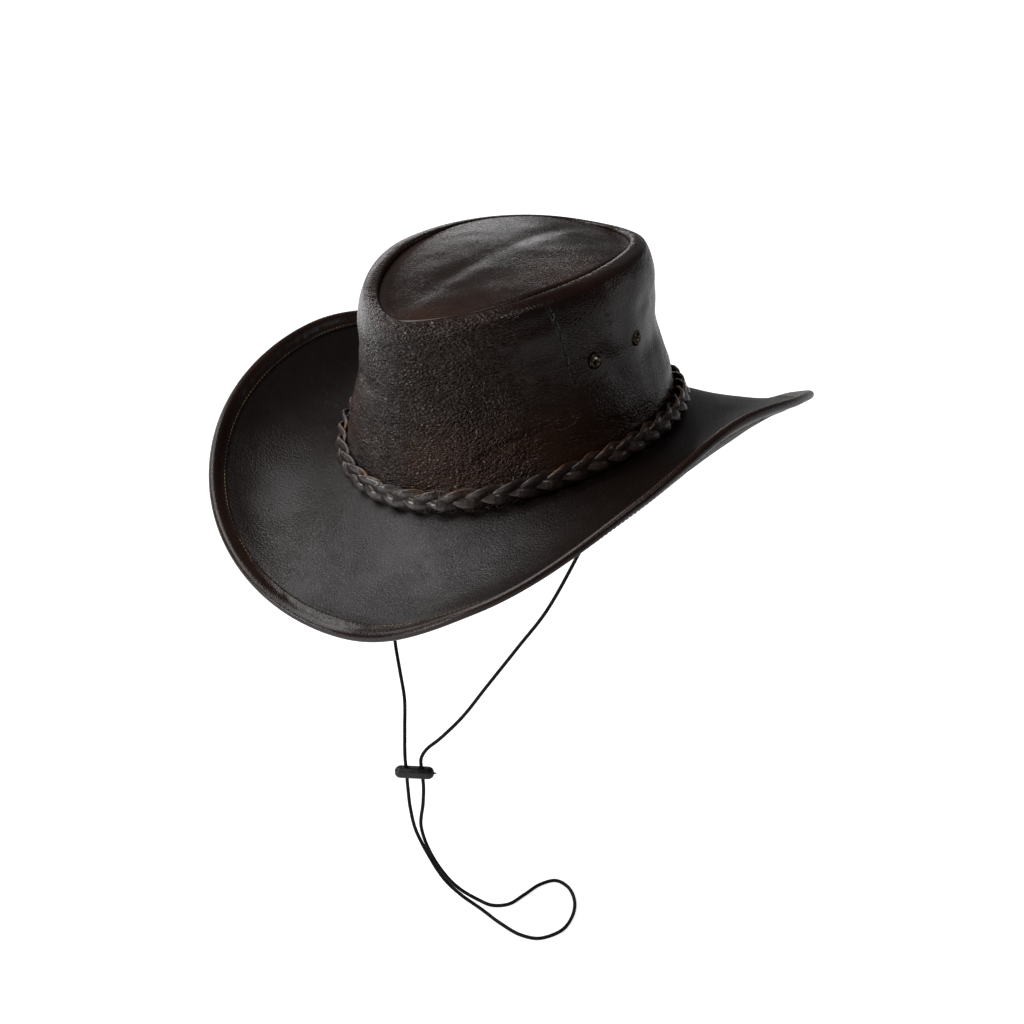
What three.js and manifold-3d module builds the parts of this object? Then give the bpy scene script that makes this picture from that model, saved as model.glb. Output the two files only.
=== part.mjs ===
// Leather cowboy hat with a plaited band, vent eyelets and a hanging chin cord, in millimetres.
// The hat stands level: its front looks towards -Y, the wearer's left is +X and the crown rises along +Z.
// The origin is the middle of the head opening, where the crown meets the brim.

import * as THREE from "three";
import { mergeVertices } from "three/addons/utils/BufferGeometryUtils.js";
import Module from "manifold-3d";

const wasm = await Module();
wasm.setup();

// Head opening and crown
const HEAD_LENGTH = 200;
const HEAD_WIDTH = 164;
const FOOT_SADDLE = 4.6; // the foot drops this far at front and back, and rises as far at the sides
const CROWN_HEIGHT = 94;
const RIDGE_TILT = 2.5; // the ridge stands this much higher at the front, and as much lower at the back
const RIDGE_LEVEL = 1; // evens out the foot's saddle at the ridge
const CROWN_WALL = 1.6;
const FRONT_FULLNESS = 1.7; // exponent of the ridge's outline: 2 is an ellipse, less is more pointed
const BACK_FULLNESS = 2.1;

// Rolled lip at the crown's ridge, and the top panel let into it
const LIP_RADIUS = 2.4;
const LIP_DEPTH = 3;
const PANEL_WALL = 1.6;
const PANEL_ROUND = 2.2; // radius of the panel's turned border
const PANEL_SINK = 0.8; // the border lies this far under the ridge
const PANEL_DOME = 5;
const CREASE_DEPTH = 1.6;
const CREASE_WIDTH = 7;

// Brim and its turned edge
const BRIM_WIDTH = 74;
const BRIM_WALL = 2.2;
const SKIVED_WALL = 1.2; // the brim is pared to this under its turned edge
const SKIVE_SLOPE = 2; // length over which it is pared
const EDGE_TURN = 8.5;
const EDGE_LEATHER = 0.8;
const EDGE_ROLL = 4.2; // across the wired roll

// Plaited band
const BAND_WIDTH = 11.5;
const BAND_THICKNESS = 4.6;
const BAND_LIFT = 1.2; // its lower edge stands this far over the crown's foot
const BAND_FULLNESS = 2.6;

// Vent eyelets
const EYELET_FLANGE = 8.6;
const EYELET_WALL = 0.9;
const EYELET_BARREL = 5.4;
const EYELET_HOLE = 4.2;
const EYELET_SEAT = 0.65; // clearance of a flat flange on the curved crown

// Chin cord, the toggle that slides on it and the tabs that hold its ends
const CORD = 2;
const TOGGLE_LENGTH = 22;
const TOGGLE_HEIGHT = 6.4;
const TOGGLE_DEPTH = 7;
const TOGGLE_HOLE = 3;
const TOGGLE_HOLES = 8.8; // between the two holes
const TOGGLE_TURN = 25; // degrees from the X axis
const TOGGLE_AT = [-28, -75, -183.5];
const TAB_WIDTH = 14;
const TAB_LENGTH = 15;
const TAB_WALL = 3.2;
const TAB_CORNER = 2.5;
const TAB_TURN = 74; // degrees from the front
const TAB_LIFT = 2.5; // its lower edge stands this far over the crown's foot

const GAP = 0.3; // between neighbouring pieces
const AROUND = 56; // stations around the hat

// Crown sections from the foot to the ridge. rise is a share of the crown's height, inset a share of the head's
// width, shift and stretch are shares of the head's length.
const CROWN_SECTIONS = [
  { rise: 0.0, inset: 0.0, shift: 0.0, stretch: 0.0 },
  { rise: 0.12, inset: 0.022, shift: -0.01, stretch: 0.005 },
  { rise: 0.3, inset: 0.047, shift: -0.01, stretch: 0.018 },
  { rise: 0.5, inset: 0.079, shift: -0.014, stretch: 0.026 },
  { rise: 0.7, inset: 0.087, shift: -0.014, stretch: 0.027 },
  { rise: 0.86, inset: 0.092, shift: -0.013, stretch: 0.033 },
  { rise: 0.95, inset: 0.108, shift: -0.014, stretch: 0.038 },
  { rise: 0.985, inset: 0.125, shift: -0.014, stretch: 0.042 },
  { rise: 1.0, inset: 0.16, shift: -0.014, stretch: 0.056 },
];

// Brim sections from the front (0 degrees) to the back (180), alike on both sides. width is a share of the brim's
// width; root, inner, outer and edge are the leather's slope in degrees at even steps from the crown to the edge.
const BRIM_SECTIONS = [
  { turn: 0, width: 1.0, root: -37, inner: -37, outer: -38, edge: -38 },
  { turn: 30, width: 1.03, root: -34, inner: -26, outer: -12, edge: 20 },
  { turn: 60, width: 0.985, root: -20, inner: -1, outer: 21, edge: 55 },
  { turn: 90, width: 0.93, root: -20, inner: 9, outer: 46, edge: 55 },
  { turn: 120, width: 0.91, root: -15, inner: -1, outer: 20, edge: 30 },
  { turn: 150, width: 1.02, root: -21, inner: -19, outer: -17, edge: 4 },
  { turn: 180, width: 1.03, root: -42, inner: -43, outer: -43, edge: -40 },
];

// Eyelets on each side of the crown: turn in degrees from the front, rise as a share of the crown's height.
const EYELETS = [
  { place: "front", turn: 78.5, rise: 0.574 },
  { place: "rear", turn: 102, rise: 0.569 },
];

// The cord's route, point by point: from the left tab down through the toggle, round the loop on the ground and
// back up through the toggle to the right tab.
const CORD_ROUTE = [
  [76.1, -27.3, 5.6],
  [75.6, -27.6, -7],
  [69.8, -30, -28],
  [60.5, -34, -48.5],
  [44, -41.5, -81],
  [29.5, -48.5, -102.5],
  [12, -56.5, -128],
  [-1, -62.5, -147],
  [-13.5, -68, -161.5],
  [-21, -71.8, -169],
  [-24, -73.1, -175],
  [-24, -73.1, -184],
  [-24, -73.1, -193],
  [-26, -72.3, -204],
  [-30, -71, -221],
  [-26.5, -70, -236],
  [-20, -66, -252],
  [-14, -61, -262.5],
  [-6, -57, -268.5],
  [5, -57, -269],
  [12, -51.5, -269],
  [14, -39, -269],
  [15.5, -26, -269],
  [20.5, -18.5, -269],
  [30, -20, -269],
  [42, -30, -269],
  [50, -44, -269],
  [52.5, -58, -269],
  [46.5, -70, -269],
  [36, -72.5, -269],
  [19, -69, -269],
  [3, -64.5, -268],
  [-8, -69, -259],
  [-16, -72, -250],
  [-24, -74, -236],
  [-30, -76, -220],
  [-31.7, -76.8, -206],
  [-32, -76.9, -194],
  [-32, -76.9, -184],
  [-32, -76.9, -173],
  [-35.5, -71, -160],
  [-38.5, -65.5, -145],
  [-43, -62, -130.5],
  [-48.5, -57.5, -115],
  [-60, -44, -70],
  [-72, -30.5, -22],
  [-75.6, -27.6, -7],
  [-76.1, -27.3, 5.6],
];
const CORD_SIDES = 8;
const CORD_STEPS = 80;

const COLOURS = { crown: 0x2a1a15, panel: 0x2e2420, brim: 0x221815, edge: 0x231712, band: 0x3a251b };

const radians = THREE.MathUtils.degToRad;
const toVector = (numbers) => new THREE.Vector3(...numbers);

// A smooth curve through one column of a table.
function columnOf(rows, key, name) {
  const positions = rows.map((row) => row[key]);
  const values = rows.map((row) => row[name]);
  const curve = new THREE.CubicInterpolant(positions, values, 1);
  return (at) => curve.evaluate(at)[0];
}

// The same for a column that is mirrored at the front and at the back.
function mirroredColumnOf(rows, name) {
  const beforeFront = rows.slice(1, 3).map((row) => ({ ...row, turn: -row.turn }));
  const pastBack = rows.slice(-3, -1).map((row) => ({ ...row, turn: 360 - row.turn }));
  const column = columnOf([...beforeFront.reverse(), ...rows, ...pastBack.reverse()], "turn", name);
  return (turn) => column(Math.abs(THREE.MathUtils.euclideanModulo(turn + 180, 360) - 180));
}

const crownInset = columnOf(CROWN_SECTIONS, "rise", "inset");
const crownShift = columnOf(CROWN_SECTIONS, "rise", "shift");
const crownStretch = columnOf(CROWN_SECTIONS, "rise", "stretch");
const brimWidth = mirroredColumnOf(BRIM_SECTIONS, "width");
const brimSlopes = ["root", "inner", "outer", "edge"].map((name) => mirroredColumnOf(BRIM_SECTIONS, name));

// A point of the head opening and its outward direction.
function openingAt(turn) {
  const angle = radians(turn);
  const halfLength = HEAD_LENGTH / 2;
  const halfWidth = HEAD_WIDTH / 2;
  const height = -FOOT_SADDLE * Math.cos(2 * angle);
  const point = new THREE.Vector3(halfWidth * Math.sin(angle), -halfLength * Math.cos(angle), height);
  const outward = new THREE.Vector3(halfLength * Math.sin(angle), -halfWidth * Math.cos(angle), 0);
  return { point, outward: outward.normalize() };
}

// The brim's width at a station, along the leather.
const widthAt = (turn) => BRIM_WIDTH * brimWidth(turn);

// A point of the brim: along is measured on the leather from the head opening, over upwards from its middle layer.
function brimPoint(turn, along, over) {
  const width = widthAt(turn);
  const slopes = brimSlopes.map((slope) => radians(slope(turn)));
  const slopeAt = (distance) => {
    const place = THREE.MathUtils.clamp(distance / width, 0, 1) * (slopes.length - 1);
    const before = Math.min(Math.floor(place), slopes.length - 2);
    return THREE.MathUtils.lerp(slopes[before], slopes[before + 1], place - before);
  };
  const steps = 30;
  const step = along / steps;
  let out = 0;
  let up = 0;
  for (let i = 0; i < steps; i += 1) {
    const slope = slopeAt((i + 0.5) * step);
    out += step * Math.cos(slope);
    up += step * Math.sin(slope);
  }
  const last = slopeAt(along);
  out -= over * Math.sin(last);
  up += over * Math.cos(last);
  const { point, outward } = openingAt(turn);
  return point.addScaledVector(outward, out).add(new THREE.Vector3(0, 0, up));
}

// Where the crown's foot stands on the brim: its outer edge and its inner edge.
const footOuter = (turn) => brimPoint(turn, CROWN_WALL, BRIM_WALL / 2 + GAP);
const footInner = (turn) => brimPoint(turn, 0, BRIM_WALL / 2 + GAP);

// A signed power, for outlines that are fuller or more pointed than an ellipse.
const power = (value, exponent) => Math.sign(value) * Math.abs(value) ** exponent;

// How much higher than the crown's height the ridge stands.
const ridgeLift = (angle) => RIDGE_TILT * Math.cos(angle) + RIDGE_LEVEL * Math.cos(2 * angle);

// A point of the crown's outer surface: rise is 0 at the foot and 1 at the ridge, inward shrinks the outline.
function crownPoint(turn, rise, inward = 0) {
  const angle = radians(turn);
  const inset = crownInset(rise) * HEAD_WIDTH + inward;
  const halfWidth = HEAD_WIDTH / 2 + CROWN_WALL - inset;
  const halfLength = HEAD_LENGTH / 2 + CROWN_WALL - inset + crownStretch(rise) * HEAD_LENGTH;
  const fullness = Math.cos(angle) > 0 ? FRONT_FULLNESS : BACK_FULLNESS;
  const exponent = 2 / THREE.MathUtils.lerp(2, fullness, rise);
  return new THREE.Vector3(
    halfWidth * power(Math.sin(angle), exponent),
    -halfLength * power(Math.cos(angle), exponent) + crownShift(rise) * HEAD_LENGTH,
    footOuter(turn).z + rise * CROWN_HEIGHT + rise ** 2 * ridgeLift(angle),
  );
}

// The outward normal of the crown's surface.
function crownNormal(turn, rise) {
  const across = crownPoint(turn + 1, rise).sub(crownPoint(turn - 1, rise));
  const upwards = crownPoint(turn, Math.min(rise + 0.01, 1)).sub(crownPoint(turn, Math.max(rise - 0.01, 0)));
  return across.cross(upwards).normalize();
}

// A point of the crown at a depth under its outer surface.
const crownInside = (turn, rise, depth) => crownPoint(turn, rise).addScaledVector(crownNormal(turn, rise), -depth);

// A point of leather rolled over at a ridge: bend runs from 0 on top to 90 degrees, where it hangs straight down by
// drop. The roll's centre lies under the ridge, centre inward and depth down.
function rolledPoint(turn, centre, depth, radius, bend, drop = 0) {
  const point = crownPoint(turn, 1, centre + radius * Math.sin(radians(bend)));
  point.z += radius * Math.cos(radians(bend)) - depth - drop;
  return point;
}

// A closed solid from sections around the hat, each a list of points. A section that is a loop closes on itself,
// and any other runs from one point on the middle to another one.
function aroundSolid(sections, loop) {
  const rows = sections[0].length;
  const positions = sections.flat().flatMap((point) => point.toArray());
  const indices = [];
  sections.forEach((section, i) => {
    const next = (i + 1) % sections.length;
    for (let j = 0; j < (loop ? rows : rows - 1); j += 1) {
      const k = (j + 1) % rows;
      const [a, b, c, d] = [i * rows + j, next * rows + j, next * rows + k, i * rows + k];
      indices.push(a, b, c, a, c, d);
    }
  });
  const grid = new THREE.BufferGeometry();
  grid.setAttribute("position", new THREE.Float32BufferAttribute(positions, 3));
  grid.setIndex(indices);
  return outwards(withoutSlivers(mergeVertices(grid, 1e-3)));
}

// The triangles of a geometry that use three different points.
function withoutSlivers(geometry) {
  const index = [...geometry.index.array];
  const kept = [];
  for (let i = 0; i < index.length; i += 3) {
    const [a, b, c] = index.slice(i, i + 3);
    if (a !== b && b !== c && c !== a) kept.push(a, b, c);
  }
  geometry.setIndex(kept);
  return geometry;
}

// The geometry with its faces turned outwards.
function outwards(geometry) {
  const position = geometry.attributes.position;
  const index = geometry.index.array;
  const corner = (i) => new THREE.Vector3().fromBufferAttribute(position, index[i]);
  let volume = 0;
  for (let i = 0; i < index.length; i += 3) {
    volume += corner(i).dot(corner(i + 1).cross(corner(i + 2)));
  }
  if (volume < 0) geometry.setIndex([...index].reverse());
  return geometry;
}

// One section for each station around the hat.
const stations = (sectionAt) => Array.from({ length: AROUND }, (_, i) => sectionAt((360 * i) / AROUND));

// A geometry as a solid for cutting, and a cut solid as a geometry.
function toSolid(geometry) {
  const bare = geometry.clone();
  bare.deleteAttribute("normal");
  bare.deleteAttribute("uv");
  const merged = mergeVertices(bare, 1e-4);
  return new wasm.Manifold(
    new wasm.Mesh({
      numProp: 3,
      vertProperties: new Float32Array(merged.attributes.position.array),
      triVerts: new Uint32Array(merged.index.array),
    }),
  );
}

function toGeometry(solid) {
  const mesh = solid.getMesh();
  const geometry = new THREE.BufferGeometry();
  geometry.setAttribute("position", new THREE.BufferAttribute(mesh.vertProperties, 3));
  geometry.setIndex(new THREE.BufferAttribute(mesh.triVerts, 1));
  return geometry;
}

// The geometry less each of the tools.
function cut(geometry, tools) {
  const solids = tools.map(toSolid);
  return toGeometry(solids.reduce((whole, tool) => whole.subtract(tool), toSolid(geometry)));
}

function material(colour, roughness, metalness = 0) {
  return new THREE.MeshStandardMaterial({ color: colour, roughness, metalness });
}

function named(name, geometry, finish) {
  const mesh = new THREE.Mesh(geometry, finish);
  mesh.name = name;
  return mesh;
}

const bandLow = BAND_LIFT / CROWN_HEIGHT;
const bandHigh = (BAND_LIFT + BAND_WIDTH) / CROWN_HEIGHT;

// The place of each eyelet: its centre on the crown and its outward direction, on both sides.
const eyeletPlaces = ["left", "right"].flatMap((side) =>
  EYELETS.map(({ place, turn, rise }) => {
    const facing = side === "left" ? turn : -turn;
    const outward = crownNormal(facing, rise);
    const turned = new THREE.Quaternion().setFromUnitVectors(new THREE.Vector3(0, 1, 0), outward);
    return { name: `eyelet_${side}_${place}`, centre: crownPoint(facing, rise), turned };
  }),
);

function crownSide() {
  const outerRises = [bandLow, bandHigh, 0.27, 0.43, 0.58, 0.73, 0.86, 0.95, 0.985];
  const innerRises = [0.9, 0.73, 0.52, 0.3, bandHigh];
  const innerRadius = LIP_RADIUS - CROWN_WALL;
  const section = (turn) => [
    footOuter(turn),
    ...outerRises.map((rise) => crownPoint(turn, rise)),
    ...[0, 45, 90].map((bend) => rolledPoint(turn, 0, LIP_RADIUS, LIP_RADIUS, bend)),
    rolledPoint(turn, 0, LIP_RADIUS, LIP_RADIUS, 90, LIP_DEPTH),
    rolledPoint(turn, 0, LIP_RADIUS, innerRadius, 90, LIP_DEPTH),
    rolledPoint(turn, 0, LIP_RADIUS, innerRadius, 90),
    rolledPoint(turn, 0, LIP_RADIUS, innerRadius, 0),
    ...innerRises.map((rise) => crownInside(turn, rise, CROWN_WALL)),
    footInner(turn),
  ];
  const drills = eyeletPlaces.map(({ centre, turned }) => {
    const radius = EYELET_BARREL / 2 + GAP;
    const drill = new THREE.CylinderGeometry(radius, radius, 8 * CROWN_WALL, 12);
    return drill.applyQuaternion(turned).translate(...centre);
  });
  return named("crown_side", cut(aroundSolid(stations(section), true), drills), material(COLOURS.crown, 0.5));
}

// The level of the panel's border, halfway between the ridge's lowest and highest places.
const panelLevel = (crownPoint(0, 1).z + crownPoint(90, 1).z) / 2 - PANEL_SINK;
const panelInward = LIP_RADIUS + GAP + PANEL_ROUND;

// A point of the top panel: share is 0 at its middle and 1 where its border starts to turn down.
function panelPoint(turn, share, depth = 0) {
  const border = crownPoint(turn, 1, panelInward);
  const lift = (border.z - PANEL_SINK - panelLevel) * share ** 2;
  const middle = new THREE.Vector3(0, crownShift(1) * HEAD_LENGTH, 0);
  const point = middle.lerp(new THREE.Vector3(border.x, border.y, 0), share);
  const dome = PANEL_DOME * (1 - share ** 2);
  const crease = CREASE_DEPTH * Math.exp(-((point.x / CREASE_WIDTH) ** 2)) * (1 - share ** 4);
  return point.setZ(panelLevel + lift + dome - crease - depth);
}

function crownTop() {
  const shares = [0, 0.12, 0.3, 0.55, 0.8, 1];
  const underShares = [1, 0.5, 0];
  const depth = PANEL_SINK + PANEL_ROUND;
  const drop = LIP_RADIUS + LIP_DEPTH - depth;
  const inner = PANEL_ROUND - PANEL_WALL;
  const turned = (turn, radius, bend, down = 0) => {
    const point = crownPoint(turn, 1, panelInward - radius * Math.sin(radians(bend)));
    point.z += radius * Math.cos(radians(bend)) - depth - down;
    return point;
  };
  const section = (turn) => [
    ...shares.map((share) => panelPoint(turn, share)),
    turned(turn, PANEL_ROUND, 45),
    turned(turn, PANEL_ROUND, 90),
    turned(turn, PANEL_ROUND, 90, drop),
    turned(turn, inner, 90, drop),
    turned(turn, inner, 90),
    ...underShares.map((share) => panelPoint(turn, share, PANEL_WALL)),
  ];
  return named("crown_top", aroundSolid(stations(section), false), material(COLOURS.panel, 0.45));
}

// Distances on the leather of the turned edge's inner border, its middle and its end.
const edgeStops = (turn) => [widthAt(turn) - EDGE_TURN, widthAt(turn) - EDGE_TURN / 2, widthAt(turn)];

function brim() {
  const shares = [0, 0.14, 0.33, 0.52, 0.7, 0.86, 1];
  const section = (turn) => {
    const whole = widthAt(turn) - EDGE_TURN - SKIVE_SLOPE;
    const top = [
      ...shares.map((share) => brimPoint(turn, whole * share, BRIM_WALL / 2)),
      ...edgeStops(turn).map((along) => brimPoint(turn, along, SKIVED_WALL / 2)),
    ];
    const bottom = [
      ...shares.map((share) => brimPoint(turn, whole * share, -BRIM_WALL / 2)),
      ...edgeStops(turn).map((along) => brimPoint(turn, along, -SKIVED_WALL / 2)),
    ];
    return [...top, ...bottom.reverse()];
  };
  return named("brim", aroundSolid(stations(section), true), material(COLOURS.brim, 0.45));
}

function brimBinding() {
  const slot = SKIVED_WALL / 2 + GAP;
  const flange = slot + EDGE_LEATHER;
  const section = (turn) => {
    const [start, middle, end] = edgeStops(turn);
    const roll = [-50, 0, 50].map((bend) => {
      const reach = (EDGE_ROLL / 2) * Math.cos(radians(bend));
      return brimPoint(turn, end + reach, (EDGE_ROLL / 2) * Math.sin(radians(bend)));
    });
    return [
      brimPoint(turn, start, slot),
      brimPoint(turn, middle, slot),
      brimPoint(turn, end + GAP, slot),
      brimPoint(turn, end + GAP, -slot),
      brimPoint(turn, middle, -slot),
      brimPoint(turn, start, -slot),
      brimPoint(turn, start, -flange),
      brimPoint(turn, middle, -flange),
      brimPoint(turn, end, -EDGE_ROLL / 2),
      ...roll,
      brimPoint(turn, end, EDGE_ROLL / 2),
      brimPoint(turn, middle, flange),
      brimPoint(turn, start, flange),
    ];
  };
  return named("brim_binding", aroundSolid(stations(section), true), material(COLOURS.edge, 0.4));
}

// The band leans on the crown's flared foot, from bandLow to bandHigh.
function braidBand() {
  const section = (turn) => {
    const low = crownPoint(turn, bandLow);
    const high = crownPoint(turn, bandHigh);
    const up = high.clone().sub(low).normalize();
    const across = openingAt(turn).outward;
    const out = across.clone().addScaledVector(up, -across.dot(up)).normalize();
    const centre = low.add(high).divideScalar(2);
    centre.addScaledVector(out, BAND_THICKNESS / 2 + GAP);
    return Array.from({ length: 8 }, (_, i) => {
      const angle = radians(45 * i);
      const outBy = (BAND_THICKNESS / 2) * power(Math.cos(angle), 2 / BAND_FULLNESS);
      const upBy = (BAND_WIDTH / 2) * power(Math.sin(angle), 2 / BAND_FULLNESS);
      return centre.clone().addScaledVector(out, outBy).addScaledVector(up, upBy);
    });
  };
  return named("braid_band", aroundSolid(stations(section), true), material(COLOURS.band, 0.4));
}

// An eyelet's section turned round its barrel: a flange outside the crown, and the clenched rim inside it.
function eyelet({ name, centre, turned }) {
  const hole = EYELET_HOLE / 2;
  const barrel = EYELET_BARREL / 2;
  const flange = EYELET_FLANGE / 2;
  const top = EYELET_SEAT + EYELET_WALL;
  const back = -CROWN_WALL - EYELET_SEAT;
  const clench = (barrel + flange) / 2;
  const profile = [
    [hole, back - EYELET_WALL / 2],
    [clench, back - EYELET_WALL / 2],
    [clench, back],
    [barrel, back],
    [barrel, EYELET_SEAT],
    [flange, EYELET_SEAT],
    [flange - EYELET_WALL / 2, top],
    [hole + EYELET_WALL / 2, top],
    [hole, EYELET_SEAT],
    [hole, back - EYELET_WALL / 2],
  ];
  const ring = new THREE.LatheGeometry(profile.map(([x, y]) => new THREE.Vector2(x, y)), 12);
  const mesh = named(name, ring, material(0x8a6a3a, 0.4, 1));
  mesh.position.copy(centre);
  mesh.quaternion.copy(turned);
  return mesh;
}

function chinCord() {
  const section = new THREE.Shape();
  for (let i = 0; i < CORD_SIDES; i += 1) {
    const angle = radians((360 * i) / CORD_SIDES);
    const place = [(CORD / 2) * Math.cos(angle), (CORD / 2) * Math.sin(angle)];
    if (i === 0) section.moveTo(...place);
    else section.lineTo(...place);
  }
  const route = new THREE.CatmullRomCurve3(CORD_ROUTE.map(toVector), false, "centripetal");
  const tube = new THREE.ExtrudeGeometry(section, { steps: CORD_STEPS, extrudePath: route });
  return named("chin_cord", tube, material(0x0c0b0b, 0.5));
}

// A flat bar with round ends and edges, and two holes for the cord's strands.
function cordToggle() {
  const bevel = TOGGLE_HEIGHT / 5;
  const radius = TOGGLE_DEPTH / 2 - bevel;
  const half = TOGGLE_LENGTH / 2 - TOGGLE_DEPTH / 2;
  const outline = new THREE.Shape();
  outline.absarc(half, 0, radius, -Math.PI / 2, Math.PI / 2);
  outline.absarc(-half, 0, radius, Math.PI / 2, (3 * Math.PI) / 2);
  const bar = new THREE.ExtrudeGeometry(outline, {
    depth: TOGGLE_HEIGHT - 2 * bevel,
    bevelThickness: bevel,
    bevelSize: bevel,
    bevelSegments: 2,
    curveSegments: 6,
  });
  bar.translate(0, 0, bevel - TOGGLE_HEIGHT / 2);
  const drills = [-1, 1].map((side) => {
    const drill = new THREE.CylinderGeometry(TOGGLE_HOLE / 2, TOGGLE_HOLE / 2, 2 * TOGGLE_HEIGHT, CORD_SIDES);
    return drill.rotateX(Math.PI / 2).translate((side * TOGGLE_HOLES) / 2, 0, 0);
  });
  const mesh = named("cord_toggle", cut(bar, drills), material(0x131214, 0.35));
  mesh.position.set(...TOGGLE_AT);
  mesh.rotation.z = radians(TOGGLE_TURN);
  return mesh;
}

// A leather tab on the crown's inner wall, which holds one end of the cord between its two layers.
function cordAnchor(name, turn) {
  const outline = new THREE.Shape();
  const right = TAB_WIDTH / 2;
  const reach = right - TAB_CORNER;
  const top = TAB_LENGTH - TAB_CORNER;
  outline.moveTo(-right, 0);
  outline.lineTo(right, 0);
  outline.lineTo(right, top);
  outline.absarc(reach, top, TAB_CORNER, 0, Math.PI / 2);
  outline.absarc(-reach, top, TAB_CORNER, Math.PI / 2, Math.PI);
  outline.closePath();
  const tab = new THREE.ExtrudeGeometry(outline, { depth: TAB_WALL, bevelEnabled: false, curveSegments: 3 });
  const lowRise = TAB_LIFT / CROWN_HEIGHT;
  const highRise = (TAB_LIFT + TAB_LENGTH) / CROWN_HEIGHT;
  const low = crownInside(turn, lowRise, CROWN_WALL);
  const high = crownInside(turn, highRise, CROWN_WALL);
  const up = high.clone().sub(low).normalize();
  const across = crownPoint(turn + 1, lowRise).sub(crownPoint(turn - 1, lowRise));
  across.addScaledVector(up, -across.dot(up)).normalize();
  const inward = across.clone().cross(up).negate();
  const seat = low.addScaledVector(inward, 2 * GAP);
  const frame = new THREE.Matrix4().makeBasis(across.negate(), up, inward);
  const mesh = named(name, tab, material(COLOURS.brim, 0.7));
  mesh.quaternion.setFromRotationMatrix(frame);
  mesh.position.copy(seat);
  return mesh;
}

const hat = new THREE.Group();
hat.add(crownSide(), crownTop(), brim(), brimBinding(), braidBand());
hat.add(...eyeletPlaces.map(eyelet));
hat.add(chinCord(), cordToggle(), cordAnchor("cord_anchor_left", TAB_TURN));
hat.add(cordAnchor("cord_anchor_right", -TAB_TURN));

export default hat;
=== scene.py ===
"""Leather cowboy hat with a plaited band, vent eyelets and a chin cord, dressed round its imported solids.

Lengths are in metres. The front looks towards -Y, the wearer's left is +X and the crown rises along +Z.
"""

import math
from bisect import bisect_right
from functools import lru_cache

import bmesh
import bpy
from bpy.props import FloatProperty, FloatVectorProperty, IntProperty, PointerProperty
from mathutils import Matrix, Vector, noise


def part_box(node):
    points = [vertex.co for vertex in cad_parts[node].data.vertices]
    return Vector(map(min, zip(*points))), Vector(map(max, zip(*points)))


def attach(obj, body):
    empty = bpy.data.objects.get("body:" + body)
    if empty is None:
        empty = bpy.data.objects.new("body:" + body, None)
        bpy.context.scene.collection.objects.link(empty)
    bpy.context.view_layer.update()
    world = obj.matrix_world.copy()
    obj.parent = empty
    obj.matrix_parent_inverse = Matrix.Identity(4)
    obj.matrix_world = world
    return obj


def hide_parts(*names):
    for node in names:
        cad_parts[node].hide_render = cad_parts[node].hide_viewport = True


bl_info = {
    "name": "Leather Cowboy Hat",
    "version": (1, 0, 0),
    "blender": (4, 5, 0),
    "location": "View3D > Sidebar > Hat",
    "description": "Builds a waxed leather hat with a plaited band, eyelets and a chin cord",
    "category": "Add Mesh",
}

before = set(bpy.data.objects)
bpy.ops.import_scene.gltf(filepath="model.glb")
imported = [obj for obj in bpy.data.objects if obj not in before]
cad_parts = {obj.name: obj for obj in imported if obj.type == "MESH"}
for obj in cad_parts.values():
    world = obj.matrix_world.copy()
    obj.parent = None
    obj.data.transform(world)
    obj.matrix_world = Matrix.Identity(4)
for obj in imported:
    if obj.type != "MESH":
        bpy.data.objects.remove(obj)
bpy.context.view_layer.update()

# Head opening and crown
HEAD_LENGTH = 0.2
HEAD_WIDTH = 0.164
FOOT_SADDLE = 0.0046
CROWN_HEIGHT = 0.094
RIDGE_TILT = 0.0025
RIDGE_LEVEL = 0.001
CROWN_WALL = 0.0016
FRONT_FULLNESS = 1.7
BACK_FULLNESS = 2.1

# Rolled lip at the crown's ridge, and the top panel let into it
LIP_RADIUS = 0.0024
LIP_DEPTH = 0.003
PANEL_WALL = 0.0016
PANEL_ROUND = 0.0022
PANEL_SINK = 0.0008
PANEL_DOME = 0.005
CREASE_DEPTH = 0.000672
CREASE_WIDTH = 0.007
CREASE_SHIFT = 0.0035
CREASE_LEAN = 0.05

# Lengths of the crown's section: outer wall, over the lip, down its inside, its edge, up again, back over,
# inner wall and foot.
LIP_OVER = 0.006
LIP_UNDER = 0.002
INNER_WALL = 0.6 * CROWN_HEIGHT
CROWN_RUNS = [CROWN_HEIGHT, LIP_OVER, LIP_DEPTH, CROWN_WALL, LIP_DEPTH, LIP_UNDER, INNER_WALL, CROWN_WALL]

# Brim and its turned edge
BRIM_WIDTH = 0.074
BRIM_WALL = 0.0022
SKIVED_WALL = 0.0012
BRIM_STEPS = 48
EDGE_TURN = 0.0074
EDGE_LEATHER = 0.0008
EDGE_ROLL = 0.005
EDGE_SKIVE = 0.002
STITCH_INSET = 0.0013

# Plaited band
BAND_WIDTH = 0.0115
BAND_THICKNESS = 0.0046
BAND_LIFT = 0.0012

# Toggle, its two holes and the nib that its mould left
TOGGLE_LENGTH = 0.022
TOGGLE_DEPTH = 0.007
TOGGLE_ROUND = 0.0026
HOLE_RADIUS = 0.0015
HOLE_OFFSET = 0.0044
NIB_LENGTH = 0.0018

GAP = 0.0003
METRES_PER_DEGREE = 0.00136

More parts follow.
